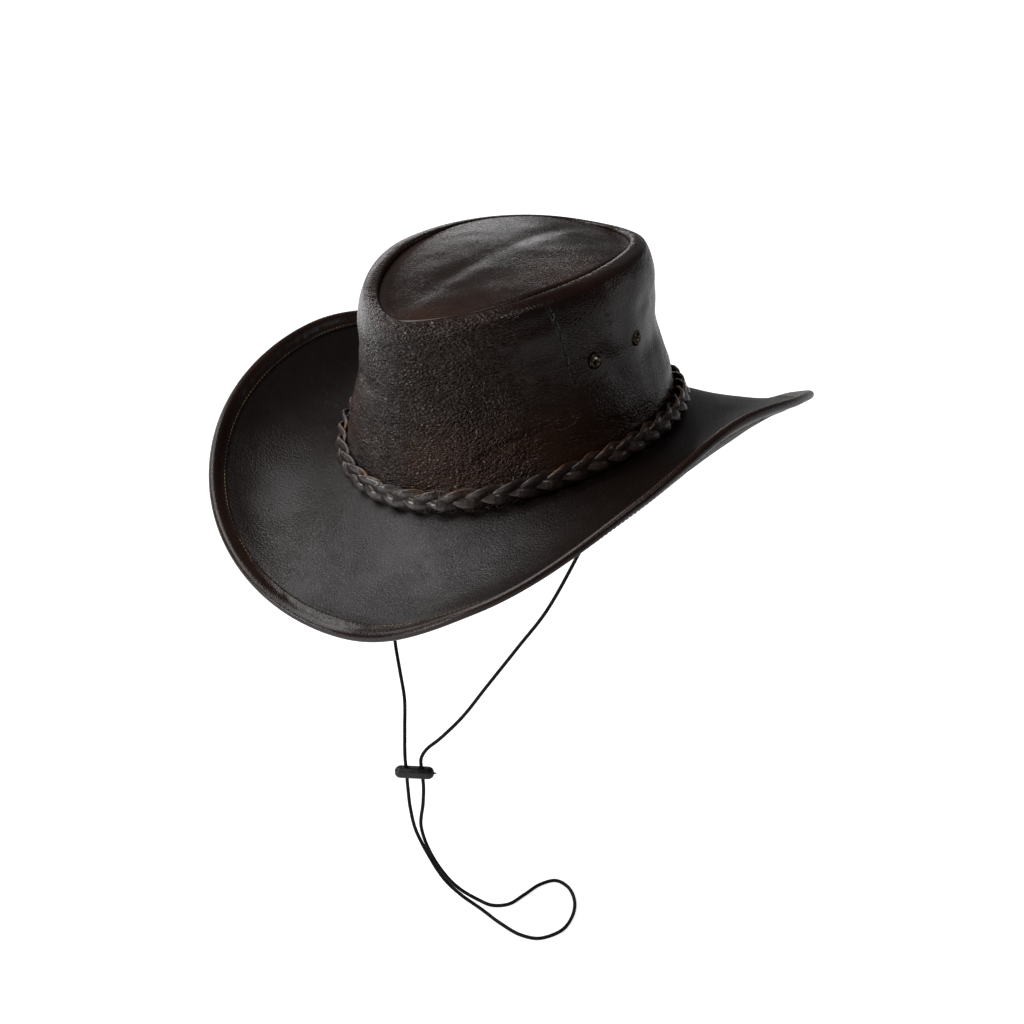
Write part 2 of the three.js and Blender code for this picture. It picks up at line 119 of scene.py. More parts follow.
# Crown sections from the foot to the ridge: rise is a share of the crown's height, inset a share of the
# head's width, shift and stretch are shares of the head's length.
CROWN_SECTIONS = [
    {"rise": 0.0, "inset": 0.0, "shift": 0.0, "stretch": 0.0},
    {"rise": 0.12, "inset": 0.022, "shift": -0.01, "stretch": 0.005},
    {"rise": 0.3, "inset": 0.047, "shift": -0.01, "stretch": 0.018},
    {"rise": 0.5, "inset": 0.079, "shift": -0.014, "stretch": 0.026},
    {"rise": 0.7, "inset": 0.087, "shift": -0.014, "stretch": 0.027},
    {"rise": 0.86, "inset": 0.092, "shift": -0.013, "stretch": 0.033},
    {"rise": 0.95, "inset": 0.108, "shift": -0.014, "stretch": 0.038},
    {"rise": 0.985, "inset": 0.125, "shift": -0.014, "stretch": 0.042},
    {"rise": 1.0, "inset": 0.16, "shift": -0.014, "stretch": 0.056},
]

# Brim sections from the front to the back, in degrees: the leather's slopes at even steps from the crown.
BRIM_SECTIONS = [
    {"turn": 0, "width": 1.0, "root": -37, "inner": -37, "outer": -38, "edge": -38},
    {"turn": 30, "width": 1.03, "root": -34, "inner": -26, "outer": -12, "edge": 20},
    {"turn": 60, "width": 0.985, "root": -20, "inner": -1, "outer": 21, "edge": 55},
    {"turn": 90, "width": 0.93, "root": -20, "inner": 9, "outer": 46, "edge": 55},
    {"turn": 120, "width": 0.91, "root": -15, "inner": -1, "outer": 20, "edge": 30},
    {"turn": 150, "width": 1.02, "root": -21, "inner": -19, "outer": -17, "edge": 4},
    {"turn": 180, "width": 1.03, "root": -42, "inner": -43, "outer": -43, "edge": -40},
]

# Eyelets of the left side: turn in degrees from the front, rise as a share of the crown's height.
EYELETS = [
    {"place": "front", "turn": 78.5, "rise": 0.574},
    {"place": "rear", "turn": 102, "rise": 0.569},
]

# How far the top panel's border stands over or under its drawn level.
PANEL_SETS = [
    {"turn": -210, "lift": -0.001},
    {"turn": -180, "lift": 0.0004},
    {"turn": -150, "lift": 0.0014},
    {"turn": -115, "lift": 0.0008},
    {"turn": -85, "lift": -0.0012},
    {"turn": -55, "lift": -0.0023},
    {"turn": -25, "lift": -0.0018},
    {"turn": -4, "lift": 0.0},
    {"turn": 20, "lift": 0.0009},
    {"turn": 90, "lift": 0.0009},
    {"turn": 112, "lift": 0.0002},
    {"turn": 140, "lift": -0.0018},
    {"turn": 160, "lift": -0.0012},
    {"turn": 180, "lift": 0.0004},
]

# Soft folds that handling has left in the crown: turn and rise of their points, depth and width. Finer
# wrinkles flow round it between them.
FLOW_DEPTH = 0.0006
FOLDS = [
    {"line": [(-36, 0.54), (-16, 0.6), (-3, 0.57)], "depth": 0.00154, "width": 0.0035},
    {"line": [(17, 0.83), (23, 0.845), (30, 0.85)], "depth": 0.00084, "width": 0.0018},
    {"line": [(33, 0.27), (40, 0.305), (45, 0.32), (52, 0.32)], "depth": 0.00112, "width": 0.0026},
    {"line": [(23, 0.6), (32, 0.6), (42, 0.56)], "depth": 0.00084, "width": 0.0022},
    {"line": [(18, 0.22), (27, 0.23), (35, 0.19)], "depth": 0.00084, "width": 0.0022},
    {"line": [(51, 0.43), (58, 0.42), (65, 0.37)], "depth": 0.00084, "width": 0.0024},
    {"line": [(140, 0.4), (152, 0.44), (166, 0.41)], "depth": 0.00112, "width": 0.003},
    {"line": [(-95, 0.3), (-80, 0.35), (-66, 0.34)], "depth": 0.00112, "width": 0.003},
]

# A line scored into the wearer's left side: turn and rise of its two ends, and its wander in degrees.
SCORED = [(61.8, 0.96), (69.2, 0.5)]
SCORE_WANDER = 2.4

# The cord's route from the left tab through the toggle, round its loop and back to the right tab.
CORD_ROUTE = [
    (0.0761, -0.0273, 0.0056),
    (0.0756, -0.0276, -0.007),
    (0.0698, -0.03, -0.028),
    (0.0605, -0.034, -0.0485),
    (0.044, -0.0415, -0.081),
    (0.0295, -0.0485, -0.1025),
    (0.012, -0.0565, -0.128),
    (-0.001, -0.0625, -0.147),
    (-0.0135, -0.068, -0.1615),
    (-0.021, -0.0718, -0.169),
    (-0.024, -0.0731, -0.175),
    (-0.024, -0.0731, -0.184),
    (-0.024, -0.0731, -0.193),
    (-0.026, -0.0723, -0.204),
    (-0.03, -0.071, -0.221),
    (-0.0265, -0.07, -0.236),
    (-0.02, -0.066, -0.252),
    (-0.014, -0.061, -0.2625),
    (-0.006, -0.057, -0.2685),
    (0.005, -0.057, -0.269),
    (0.012, -0.0515, -0.269),
    (0.014, -0.039, -0.269),
    (0.0155, -0.026, -0.269),
    (0.0205, -0.0185, -0.269),
    (0.03, -0.02, -0.269),
    (0.042, -0.03, -0.269),
    (0.05, -0.044, -0.269),
    (0.0525, -0.058, -0.269),
    (0.0465, -0.07, -0.269),
    (0.036, -0.0725, -0.269),
    (0.019, -0.069, -0.269),
    (0.003, -0.0645, -0.268),
    (-0.008, -0.069, -0.259),
    (-0.016, -0.072, -0.25),
    (-0.024, -0.074, -0.236),
    (-0.03, -0.076, -0.22),
    (-0.0317, -0.0768, -0.206),
    (-0.032, -0.0769, -0.194),
    (-0.032, -0.0769, -0.184),
    (-0.032, -0.0769, -0.173),
    (-0.0355, -0.071, -0.16),
    (-0.0385, -0.0655, -0.145),
    (-0.043, -0.062, -0.1305),
    (-0.0485, -0.0575, -0.115),
    (-0.06, -0.044, -0.07),
    (-0.072, -0.0305, -0.022),
    (-0.0756, -0.0276, -0.007),
    (-0.0761, -0.0273, 0.0056),
]
GROUND = -0.27

# The view that the hat is shown from
VIEW_TURN = 38.1
VIEW_RISE = 25.7
VIEW_ROLL = 4.0
VIEW_FROM = (0.8837, -1.1353, 0.6422)
VIEW_LENS = 103.94

# Area lights: where each stands, what it aims at, its width and height, and its power
LIGHTS = [
    ("overhead", (-0.86, -0.24, 1.58), (0, 0, -0.05), (1.1, 1.1), 15),
    ("overhead_right", (0.85, -0.25, 1.6), (0.05, 0, 0), (0.4, 0.4), 3),
    ("left", (-1.75, 0.25, 0.4), (0, 0, 0.05), (0.9, 0.7), 5.5),
    ("back_left", (-1.48, 1.32, 0.32), (0, 0, 0.08), (1.0, 0.26), 1.8),
    ("back_high", (-1.1, 1.8, 1.0), (0, 0, 0), (1.5, 0.9), 0.4),
    ("back_right", (1.2, 1.8, 0.2), (0, 0, 0.05), (0.8, 0.36), 0.7),
    ("front_top", (-0.7, -1.05, 1.5), (0, 0, 0), (0.35, 0.35), 4),
    ("front_left", (-0.7, -1.8, 0.4), (0, 0, 0), (0.6, 0.5), 10),
]


def length(name, description, default):
    return FloatProperty(name=name, description=description, default=default, unit="LENGTH")


def tint(name, description, default):
    return FloatVectorProperty(name=name, description=description, default=default, subtype="COLOR")


class HatShape(bpy.types.PropertyGroup):
    """Sizes of the leather's finer forms."""

    sway: length("Sway", "How far the hand-shaped leather wanders from its drawn form", 0.0009)
    puckers: length("Edge Puckers", "Depth of the small gathers in the turned edge", 0.00045)
    strand_width: length("Strand Width", "Width of one strand of the band", 0.0056)
    strand_wall: length("Strand Thickness", "Thickness of one strand", 0.0018)
    plaits: IntProperty(name="Plaits", description="Turns of the plait round the hat", default=14, min=6)
    stitch_pitch: length("Stitch Pitch", "Distance between stitches", 0.0026)
    stitch_thread: length("Thread", "Diameter of the sewing thread", 0.0007)
    cord: length("Cord", "Diameter of the chin cord", 0.002)


class HatColours(bpy.types.PropertyGroup):
    """Base colours of the hat's finishes."""

    leather: tint("Leather", "Dark waxed leather", (0.0145, 0.005, 0.0034))
    warm: tint("Warm Patches", "Where the wax is thin", (0.055, 0.022, 0.011))
    worn: tint("Worn Edges", "Rubbed leather", (0.07, 0.045, 0.032))
    strand: tint("Strands", "Glazed leather of the band", (0.026, 0.014, 0.0105))
    cut: tint("Cut Edges", "Raw sides of the strands", (0.3, 0.13, 0.05))
    thread: tint("Thread", "Waxed sewing thread", (0.2, 0.15, 0.08))
    brass: tint("Brass", "Antique brass", (0.09, 0.07, 0.05))
    cord: tint("Cord", "Woven cord", (0.004, 0.004, 0.0045))
    toggle: tint("Toggle", "Moulded toggle", (0.009, 0.009, 0.011))


# Shapes shared by the pieces


def column(rows, key, name):
    """A smooth curve through one column of a table."""
    at = [row[key] for row in rows]
    values = [row[name] for row in rows]

    @lru_cache(maxsize=None)
    def value(x):
        i = min(max(bisect_right(at, x), 1), len(at) - 1)
        span = at[i] - at[i - 1]
        rise = values[i] - values[i - 1]
        start = end = rise
        if i > 1:
            start = (rise + (values[i - 1] - values[i - 2]) * span / (at[i - 1] - at[i - 2])) / 2
        if i < len(at) - 1:
            end = (rise + (values[i + 1] - values[i]) * span / (at[i + 1] - at[i])) / 2
        p = (x - at[i - 1]) / span
        bend = start * p * (1 - p) ** 2 - end * p * p * (1 - p)
        return values[i - 1] + rise * p * p * (3 - 2 * p) + bend

    return value


def mirrored_column(rows, name):
    """The same for a column that is mirrored at the front and at the back."""
    before = [{**row, "turn": -row["turn"]} for row in rows[2:0:-1]]
    beyond = [{**row, "turn": 360 - row["turn"]} for row in rows[-2:-4:-1]]
    curve = column(before + rows + beyond, "turn", name)
    return lambda turn: curve(abs((turn + 180) % 360 - 180))


crown_inset = column(CROWN_SECTIONS, "rise", "inset")
crown_shift = column(CROWN_SECTIONS, "rise", "shift")
crown_stretch = column(CROWN_SECTIONS, "rise", "stretch")
panel_set = column(PANEL_SETS, "turn", "lift")
brim_width = mirrored_column(BRIM_SECTIONS, "width")
brim_slopes = [mirrored_column(BRIM_SECTIONS, name) for name in ("root", "inner", "outer", "edge")]


def mix(a, b, share):
    return a + (b - a) * share


def power(value, exponent):
    return math.copysign(abs(value) ** exponent, value)


def opening_at(turn):
    """A point of the head opening and its outward direction."""
    angle = math.radians(turn)
    half_length = HEAD_LENGTH / 2
    half_width = HEAD_WIDTH / 2
    height = -FOOT_SADDLE * math.cos(2 * angle)
    point = Vector((half_width * math.sin(angle), -half_length * math.cos(angle), height))
    outward = Vector((half_length * math.sin(angle), -half_width * math.cos(angle), 0))
    return point, outward.normalized()


def width_at(turn):
    """The brim's width at a station, along the leather."""
    return BRIM_WIDTH * brim_width(turn)


@lru_cache(maxsize=None)
def brim_profile(turn):
    """The leather's way outwards at a station: how far out and up it is at even steps, and its slopes."""
    slopes = [math.radians(slope(turn)) for slope in brim_slopes]
    step = width_at(turn) / BRIM_STEPS
    outs, ups, bends = [0.0], [0.0], [slopes[0]]
    for i in range(BRIM_STEPS):
        place = (i + 0.5) * 3 / BRIM_STEPS
        before = min(int(place), 2)
        slope = mix(slopes[before], slopes[before + 1], place - before)
        outs.append(outs[-1] + step * math.cos(slope))
        ups.append(ups[-1] + step * math.sin(slope))
        place = (i + 1) * 3 / BRIM_STEPS
        before = min(int(place), 2)
        bends.append(mix(slopes[before], slopes[before + 1], place - before))
    return step, outs, ups, bends, opening_at(turn)


def brim_point(turn, along, over):
    """A point of the brim: along runs on the leather from the head opening, over is up from its middle."""
    step, outs, ups, bends, (start, outward) = brim_profile(turn)
    i = min(max(int(along / step), 0), BRIM_STEPS - 1)
    p = along / step - i
    slope = mix(bends[i], bends[i + 1], min(max(p, 0), 1))
    out = mix(outs[i], outs[i + 1], p) - over * math.sin(slope)
    up = mix(ups[i], ups[i + 1], p) + over * math.cos(slope)
    return start + outward * out + Vector((0, 0, up))


@lru_cache(maxsize=None)
def foot_height(turn):
    """The height at which the crown's outer surface meets the brim."""
    return brim_point(turn, CROWN_WALL, BRIM_WALL / 2 + GAP).z


def crown_point(turn, rise, inward=0.0):
    """A point of the crown's outer surface: rise is 0 at the foot and 1 at the ridge."""
    angle = math.radians(turn)
    inset = crown_inset(rise) * HEAD_WIDTH + inward
    half_width = HEAD_WIDTH / 2 + CROWN_WALL - inset
    half_length = HEAD_LENGTH / 2 + CROWN_WALL - inset + crown_stretch(rise) * HEAD_LENGTH
    fullness = FRONT_FULLNESS if math.cos(angle) > 0 else BACK_FULLNESS
    exponent = 2 / mix(2, fullness, rise)
    lift = RIDGE_TILT * math.cos(angle) + RIDGE_LEVEL * math.cos(2 * angle)
    return Vector(
        (
            half_width * power(math.sin(angle), exponent),
            -half_length * power(math.cos(angle), exponent) + crown_shift(rise) * HEAD_LENGTH,
            foot_height(turn) + rise * CROWN_HEIGHT + rise * rise * lift,
        )
    )


@lru_cache(maxsize=None)
def crown_normal(turn, rise):
    """The outward normal of the crown's surface, frozen."""
    across = crown_point(turn + 1, rise) - crown_point(turn - 1, rise)
    upwards = crown_point(turn, min(rise + 0.01, 1)) - crown_point(turn, max(rise - 0.01, 0))
    return across.cross(upwards).normalized().freeze()


def fold_depth(turn, rise):
    """How deep the crown's folds are at a place."""
    turn = (turn + 180) % 360 - 180
    deepest = 0.0
    place = Vector((turn * METRES_PER_DEGREE, rise * CROWN_HEIGHT))
    for fold in FOLDS:
        points = [Vector((a * METRES_PER_DEGREE, b * CROWN_HEIGHT)) for a, b in fold["line"]]
        if min((place - point).length for point in points) > 0.02:
            continue
        for a, b in zip(points, points[1:]):
            share = min(max((place - a).dot(b - a) / (b - a).length_squared, 0), 1)
            away = (place - a.lerp(b, share)).length
            deepest = max(deepest, fold["depth"] * math.exp(-((away / fold["width"]) ** 2)))
    return deepest


def crown_skin(turn, rise):
    """A point of the crown's outer surface with the folds and dents of soft leather."""
    point = crown_point(turn, rise)
    fade = smooth_step(0.1, 0.3, rise) * smooth_step(1.0, 0.88, rise)
    flowing = Vector((point.x * 34, point.y * 34, point.z * 95))
    depth = sway(point, bpy.context.scene.hat_shape.sway) + FLOW_DEPTH * noise.noise(flowing)
    return point + crown_normal(turn, rise) * (depth - fold_depth(turn, rise)) * fade


def swept(name, around, across, place, capped=False):
    """A skin from a grid: u runs round the hat or along a cord, v round the section, both from 0 to 1."""
    mesh = bmesh.new()
    mesh.loops.layers.uv.new("UVMap")
    bmesh.ops.create_grid(mesh, x_segments=around, y_segments=across, size=0.5, calc_uvs=True)
    for vert in mesh.verts:
        u = round((vert.co.x + 0.5) * around) / around
        v = round((vert.co.y + 0.5) * across) / across
        vert.co = place(u, v)
    bmesh.ops.remove_doubles(mesh, verts=mesh.verts, dist=1e-6)
    if capped:
        rings = [edge for edge in mesh.edges if edge.is_boundary]
        bmesh.ops.holes_fill(mesh, edges=rings, sides=across)
    return finished(name, mesh)


def finished(name, mesh):
    """The bmesh as an object at the origin, its faces outwards."""
    bmesh.ops.recalc_face_normals(mesh, faces=mesh.faces)
    for face in mesh.faces:
        face.smooth = True
    data = bpy.data.meshes.new(name)
    mesh.to_mesh(data)
    mesh.free()
    piece = bpy.data.objects.new(name, data)
    bpy.context.scene.collection.objects.link(piece)
    return piece


def scattered(name, places, around, across):
    """One object of many small balls, each stretched and turned by its own matrix."""
    ball = bmesh.new()
    bmesh.ops.create_uvsphere(ball, u_segments=around, v_segments=across, radius=1)
    corners = [vert.co.copy() for vert in ball.verts]
    faces = [[vert.index for vert in face.verts] for face in ball.faces]
    ball.free()
    data = bpy.data.meshes.new(name)
    points = [place @ corner for place in places for corner in corners]
    sides = [[i + k * len(corners) for i in face] for k in range(len(places)) for face in faces]
    data.from_pydata(points, [], sides)
    data.shade_smooth()
    piece = bpy.data.objects.new(name, data)
    bpy.context.scene.collection.objects.link(piece)
    return piece


def along_section(stops, share):
    """The place at a share of a section's whole length: its stretches are (length, function) pairs."""
    whole = sum(length for length, _ in stops)
    distance = share * whole
    for length, place in stops:
        if distance <= length + 1e-12:
            return place(min(distance / length, 1))
        distance -= length
    return stops[-1][1](1)


def dressed(piece, material, slot, *nodes):
    """The piece with its finish, riding on the hat in place of its solids."""
    piece.data.materials.clear()
    piece.data.materials.append(material)
    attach(piece, "root")
    if nodes:
        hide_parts(*nodes)
    return piece


def applied(piece):
    """The piece with its modifiers made part of its mesh."""
    graph = bpy.context.evaluated_depsgraph_get()
    piece.data = bpy.data.meshes.new_from_object(piece.evaluated_get(graph))
    piece.modifiers.clear()
    return piece


def sway(point, depth, grain=0.03):
    """How far soft leather wanders at a point."""
    place = point / grain
    return depth * (noise.noise(place) + 0.5 * noise.noise(place * 2.3 + Vector((7, 3, 1))))


def crisp(bend):
    """The way round a corner that keeps to its sides longer than a circle does, along and across it."""
    return math.sin(bend) ** 0.6, math.cos(bend) ** 0.6


def smooth_step(low, high, value):
    share = min(max((value - low) / (high - low), 0), 1)
    return share * share * (3 - 2 * share)


# Node tools shared by the finishes


def new_group(name, inputs, outputs):
    """An empty node group with named sockets, and its input and output nodes."""
    tree = bpy.data.node_groups.new(name, "ShaderNodeTree")
    for label, kind, default in inputs:
        socket = tree.interface.new_socket(label, in_out="INPUT", socket_type=kind)
        if default is not None:
            socket.default_value = default
    for label, kind in outputs:
        tree.interface.new_socket(label, in_out="OUTPUT", socket_type=kind)
    return tree, tree.nodes.new("NodeGroupInput"), tree.nodes.new("NodeGroupOutput")


class Nodes:
    """Adds nodes to a tree and links them in one call each."""

    def __init__(self, tree):
        self.tree = tree

    def link(self, value, socket):
        if isinstance(value, bpy.types.NodeSocket):
            self.tree.links.new(value, socket)
        elif value is not None:
            socket.default_value = value

    def math(self, operation, a, b=None, c=None, clamp=False):
        node = self.tree.nodes.new("ShaderNodeMath")
        node.operation = operation
        node.use_clamp = clamp
        for value, socket in zip((a, b, c), node.inputs):
            self.link(value, socket)
        return node.outputs[0]

    def times(self, a, b, clamp=False):
        return self.math("MULTIPLY", a, b, clamp=clamp)

    def plus(self, a, b, clamp=False):
        return self.math("ADD", a, b, clamp=clamp)

    def minus(self, a, b):
        return self.math("SUBTRACT", a, b)

    def vector(self, operation, a, b=None, scale=None):
        node = self.tree.nodes.new("ShaderNodeVectorMath")
        node.operation = operation
        self.link(a, node.inputs[0])
        self.link(b, node.inputs[1])
        if scale is not None:
            self.link(scale, node.inputs["Scale"])
        return node.outputs[0]

    def noise(self, vector, scale, detail=4.0, roughness=0.55, distortion=0.0):
        node = self.tree.nodes.new("ShaderNodeTexNoise")
        values = {"Vector": vector, "Scale": scale, "Detail": detail, "Roughness": roughness}
        for label, value in (values | {"Distortion": distortion}).items():
            self.link(value, node.inputs[label])
        return node.outputs["Fac"]

    def cells(self, vector, scale, feature="F1"):
        node = self.tree.nodes.new("ShaderNodeTexVoronoi")
        node.feature = feature
        self.link(vector, node.inputs["Vector"])
        self.link(scale, node.inputs["Scale"])
        return node.outputs["Distance"]

    def range(self, value, low, high, to_low=0.0, to_high=1.0):
        node = self.tree.nodes.new("ShaderNodeMapRange")
        node.interpolation_type = "SMOOTHSTEP"
        for number, socket in zip((value, low, high, to_low, to_high), node.inputs):
            self.link(number, socket)
        return node.outputs[0]

    def mix(self, share, a, b):
        node = self.tree.nodes.new("ShaderNodeMix")
        node.data_type = "RGBA"
        self.link(share, node.inputs["Factor"])
        self.link(a, node.inputs["A"])
        self.link(b, node.inputs["B"])
        return node.outputs["Result"]

    def group(self, tree, **values):
        node = self.tree.nodes.new("ShaderNodeGroup")
        node.node_tree = tree
        for label, value in values.items():
            self.link(value, node.inputs[label.replace("_", " ")])
        return node.outputs

    def surface(self, shader, shade, roughness, height, depth, specular=0.5):
        """Gives a shader its colour, its roughness and a relief of a certain depth."""
        bump = self.tree.nodes.new("ShaderNodeBump")
        bump.inputs["Distance"].default_value = depth
        self.link(height, bump.inputs["Height"])
        self.link(bump.outputs[0], shader.inputs["Normal"])
        self.link(shade, shader.inputs["Base Color"])
        self.link(roughness, shader.inputs["Roughness"])
        shader.inputs["Specular IOR Level"].default_value = specular

    def object_place(self):
        return self.tree.nodes.new("ShaderNodeTexCoord").outputs["Object"]

    def surface_place(self):
        return self.tree.nodes.new("ShaderNodeTexCoord").outputs["UV"]

    def attribute(self, name):
        node = self.tree.nodes.new("ShaderNodeAttribute")
        node.attribute_name = name
        return node.outputs["Fac"]

    def split(self, vector):
        node = self.tree.nodes.new("ShaderNodeSeparateXYZ")
        self.link(vector, node.inputs[0])
        return node.outputs

    def join(self, x, y, z):
        node = self.tree.nodes.new("ShaderNodeCombineXYZ")
        for value, socket in zip((x, y, z), node.inputs):
            self.link(value, socket)
        return node.outputs[0]


def colour(name, shade=1.0):
    """One of the hat's base colours, or a darker shade of it."""
    rgb = getattr(bpy.context.scene.hat_colours, name)
    return (*(shade * part for part in rgb), 1.0)


def made_once(name):
    """Marks a function that fills a material's nodes: the material is made once and then found again."""

    def marked(fill):
        def found():
            if name not in bpy.data.materials:
                material = bpy.data.materials.new(name)
                material.use_nodes = True
                tree = material.node_tree
                fill(tree.nodes["Principled BSDF"], Nodes(tree))
            return bpy.data.materials[name]

        return found

    return marked


def leather_group():
    """Waxed leather: pebble grain, flowing creases, wax haze and warm patches where the wax is thin."""
    name = "Waxed Leather"
    if name in bpy.data.node_groups:
        return bpy.data.node_groups[name]
    tree, given, out = new_group(
        name,
        [
            ("Place", "NodeSocketVector", None),
            ("Grain Size", "NodeSocketFloat", 0.0016),
            ("Grain", "NodeSocketFloat", 1.0),
            ("Creases", "NodeSocketFloat", 1.0),
            ("Base", "NodeSocketColor", None),
            ("Warm", "NodeSocketColor", None),
            ("Worn", "NodeSocketColor", None),
            ("Warmth", "NodeSocketFloat", 0.5),
            ("Wear", "NodeSocketFloat", 0.3),
            ("Roughness", "NodeSocketFloat", 0.45),
        ],
        [("Colour", "NodeSocketColor"), ("Roughness", "NodeSocketFloat"), ("Height", "NodeSocketFloat")],
    )
    n = Nodes(tree)
    place = given.outputs["Place"]
    drift = tree.nodes.new("ShaderNodeTexNoise")
    n.link(place, drift.inputs["Vector"])
    drift.inputs["Scale"].default_value = 70
    drift.inputs["Detail"].default_value = 4
    centred = n.vector("SUBTRACT", drift.outputs["Color"], (0.5, 0.5, 0.5))
    bent = n.vector("ADD", place, n.vector("SCALE", centred, scale=0.007))
    squashed = n.vector("MULTIPLY", bent, (0.8, 0.8, 1.35))
    per_metre = n.math("DIVIDE", 1.0, given.outputs["Grain Size"])
    pebbles = n.range(n.cells(squashed, per_metre, "DISTANCE_TO_EDGE"), 0.0, 0.2)
    domes = n.range(n.cells(squashed, per_metre), 0.0, 0.8, 1.0, 0.0)
    fine = n.noise(squashed, n.times(per_metre, 0.5), 3, 0.5)
    patches = n.noise(place, 24, 4, 0.6)
    grain = n.plus(n.plus(n.times(pebbles, 0.5), n.times(domes, 0.4)), n.times(fine, 0.2))
    grain = n.times(grain, given.outputs["Grain"])
    grain = n.times(grain, n.range(patches, 0.36, 0.62, 0.4, 1.0))
    flow = n.noise(n.vector("MULTIPLY", bent, (26.0, 26.0, 95.0)), 1.0, 4, 0.55, 0.5)
    folds = n.minus(1.0, n.range(n.math("ABSOLUTE", n.minus(flow, 0.5)), 0.0, 0.06))
    few = n.range(n.noise(place, 17, 3), 0.46, 0.62)
    folds = n.times(n.times(folds, few), given.outputs["Creases"])
    gathers = n.noise(n.vector("MULTIPLY", bent, (200.0, 200.0, 430.0)), 1.0, 3, 0.5)
    gathers = n.times(n.times(gathers, given.outputs["Creases"]), given.outputs["Grain"])
    height = n.minus(n.plus(grain, n.times(gathers, 0.8)), n.times(folds, 0.3))
    thin_wax = n.range(n.noise(place, 14, 4, 0.55), 0.34, 0.74)
    warm = n.times(thin_wax, given.outputs["Warmth"], clamp=True)
    shade = n.mix(warm, given.outputs["Base"], given.outputs["Warm"])
    crowns = n.range(pebbles, 0.35, 1.0)
    scuffs = n.range(n.noise(n.vector("MULTIPLY", bent, (1.0, 1.0, 2.2)), 60, 6, 0.7), 0.55, 0.75)
    worn = n.times(n.times(scuffs, crowns), given.outputs["Wear"], clamp=True)
    shade = n.mix(worn, shade, given.outputs["Worn"])
    n.link(shade, out.inputs["Colour"])
    haze = n.range(n.noise(place, 33, 5, 0.6), 0.35, 0.68, -0.1, 0.17)
    dull = n.times(n.minus(1.0, pebbles), 0.1)
    rough = n.plus(given.outputs["Roughness"], n.times(haze, given.outputs["Wear"]))
    rough = n.plus(rough, dull, clamp=True)
    n.link(rough, out.inputs["Roughness"])
    n.link(height, out.inputs["Height"])
    return tree


def leather(n, place, grain_size, grain, creases, warmth, wear, roughness, base="leather", shade=1.0):
    """The leather group with a finish's own values."""
    return n.group(
        leather_group(),
        Place=place,
        Grain_Size=grain_size,
        Grain=grain,
        Creases=creases,
        Base=colour(base, shade),
        Warm=colour("warm"),
        Worn=colour("worn"),
        Warmth=warmth,
        Wear=wear,
        Roughness=roughness,
    )


def crown_score(n, place):
    """A broken line that runs down the wearer's left side from the ridge, as a mask over the surface."""
    (first_turn, first_rise), (last_turn, last_rise) = SCORED
    lean = (last_turn - first_turn) / (first_rise - last_rise)
    around, section, _ = n.split(n.surface_place())
    rise = n.times(section, sum(CROWN_RUNS) / CROWN_HEIGHT)
    straight = n.math("MULTIPLY_ADD", rise, -lean, first_turn + first_rise * lean)
    wander = n.times(n.minus(n.noise(place, 140, 3), 0.5), SCORE_WANDER)
    line = n.plus(straight, wander)
    off = n.math("ABSOLUTE", n.minus(n.times(around, 360), line))
    core = n.range(off, 0.3, 0.8, 1.0, 0.0)
    ends = n.times(n.range(rise, last_rise, last_rise + 0.03), n.range(rise, first_rise, first_rise - 0.02))
    broken = n.range(n.noise(place, 330, 2), 0.36, 0.46)
    return n.times(n.times(core, ends), broken)


@made_once("waxed_crown")
def crown_leather(shader, n):
    """Pebbled on the front, smooth at the sides, reddish low on the front, with a scored line."""
    place = n.object_place()
    x, y, z = n.split(place)
    low_front = n.times(n.range(z, 0.06, 0.01), n.range(y, 0.0, -0.07))
    warmth = n.plus(n.times(low_front, 1.3), 0.45)
    ahead = n.minus(n.times(x, 0.12), n.times(y, 0.99))
    grain = n.range(ahead, 0.06, 0.09, 0.13, 1.3)
    skin = leather(n, place, 0.0018, grain, creases=1.0, warmth=warmth, wear=0.3, roughness=0.18)
    score = crown_score(n, place)
    # Painted shade: the scored line's groove is coloured near black, besides being sunk into the relief.
    shade = n.mix(score, skin["Colour"], (0.002, 0.0012, 0.001, 1))
    height = n.minus(skin["Height"], n.times(score, 1.6))
    n.surface(shader, shade, skin["Roughness"], height, 0.001, specular=0.45)


@made_once("waxed_panel")
def panel_leather(shader, n):
    """Nearly smooth, reddish on the wearer's left front."""
    place = n.object_place()
    x, y, _ = n.split(place)
    warmth = n.range(n.minus(n.times(x, 0.6), y), 0.0, 0.06, 0.3, 1.5)
    skin = leather(n, place, 0.0013, 0.35, creases=0.0, warmth=warmth, wear=0.1, roughness=0.18)
    n.surface(shader, skin["Colour"], skin["Roughness"], skin["Height"], 0.00022, specular=0.45)


@made_once("waxed_brim")
def brim_leather(shader, n):
    """Darker and duller than the crown, with an even fine grain."""
    place = n.object_place()
    skin = leather(n, place, 0.0013, 0.7, creases=0.0, warmth=0.1, wear=0.12, roughness=0.36, shade=0.5)
    n.surface(shader, skin["Colour"], skin["Roughness"], skin["Height"], 0.00022, specular=0.45)


@made_once("waxed_edge")
def edge_leather(shader, n):
    """Stretched thin over the wire, so its grain is faint and it shines."""
    skin = leather(n, n.object_place(), 0.0012, 0.25, creases=0.3, warmth=0.4, wear=0.15, roughness=0.24)
    n.surface(shader, skin["Colour"], skin["Roughness"], skin["Height"], 0.00025, specular=0.45)


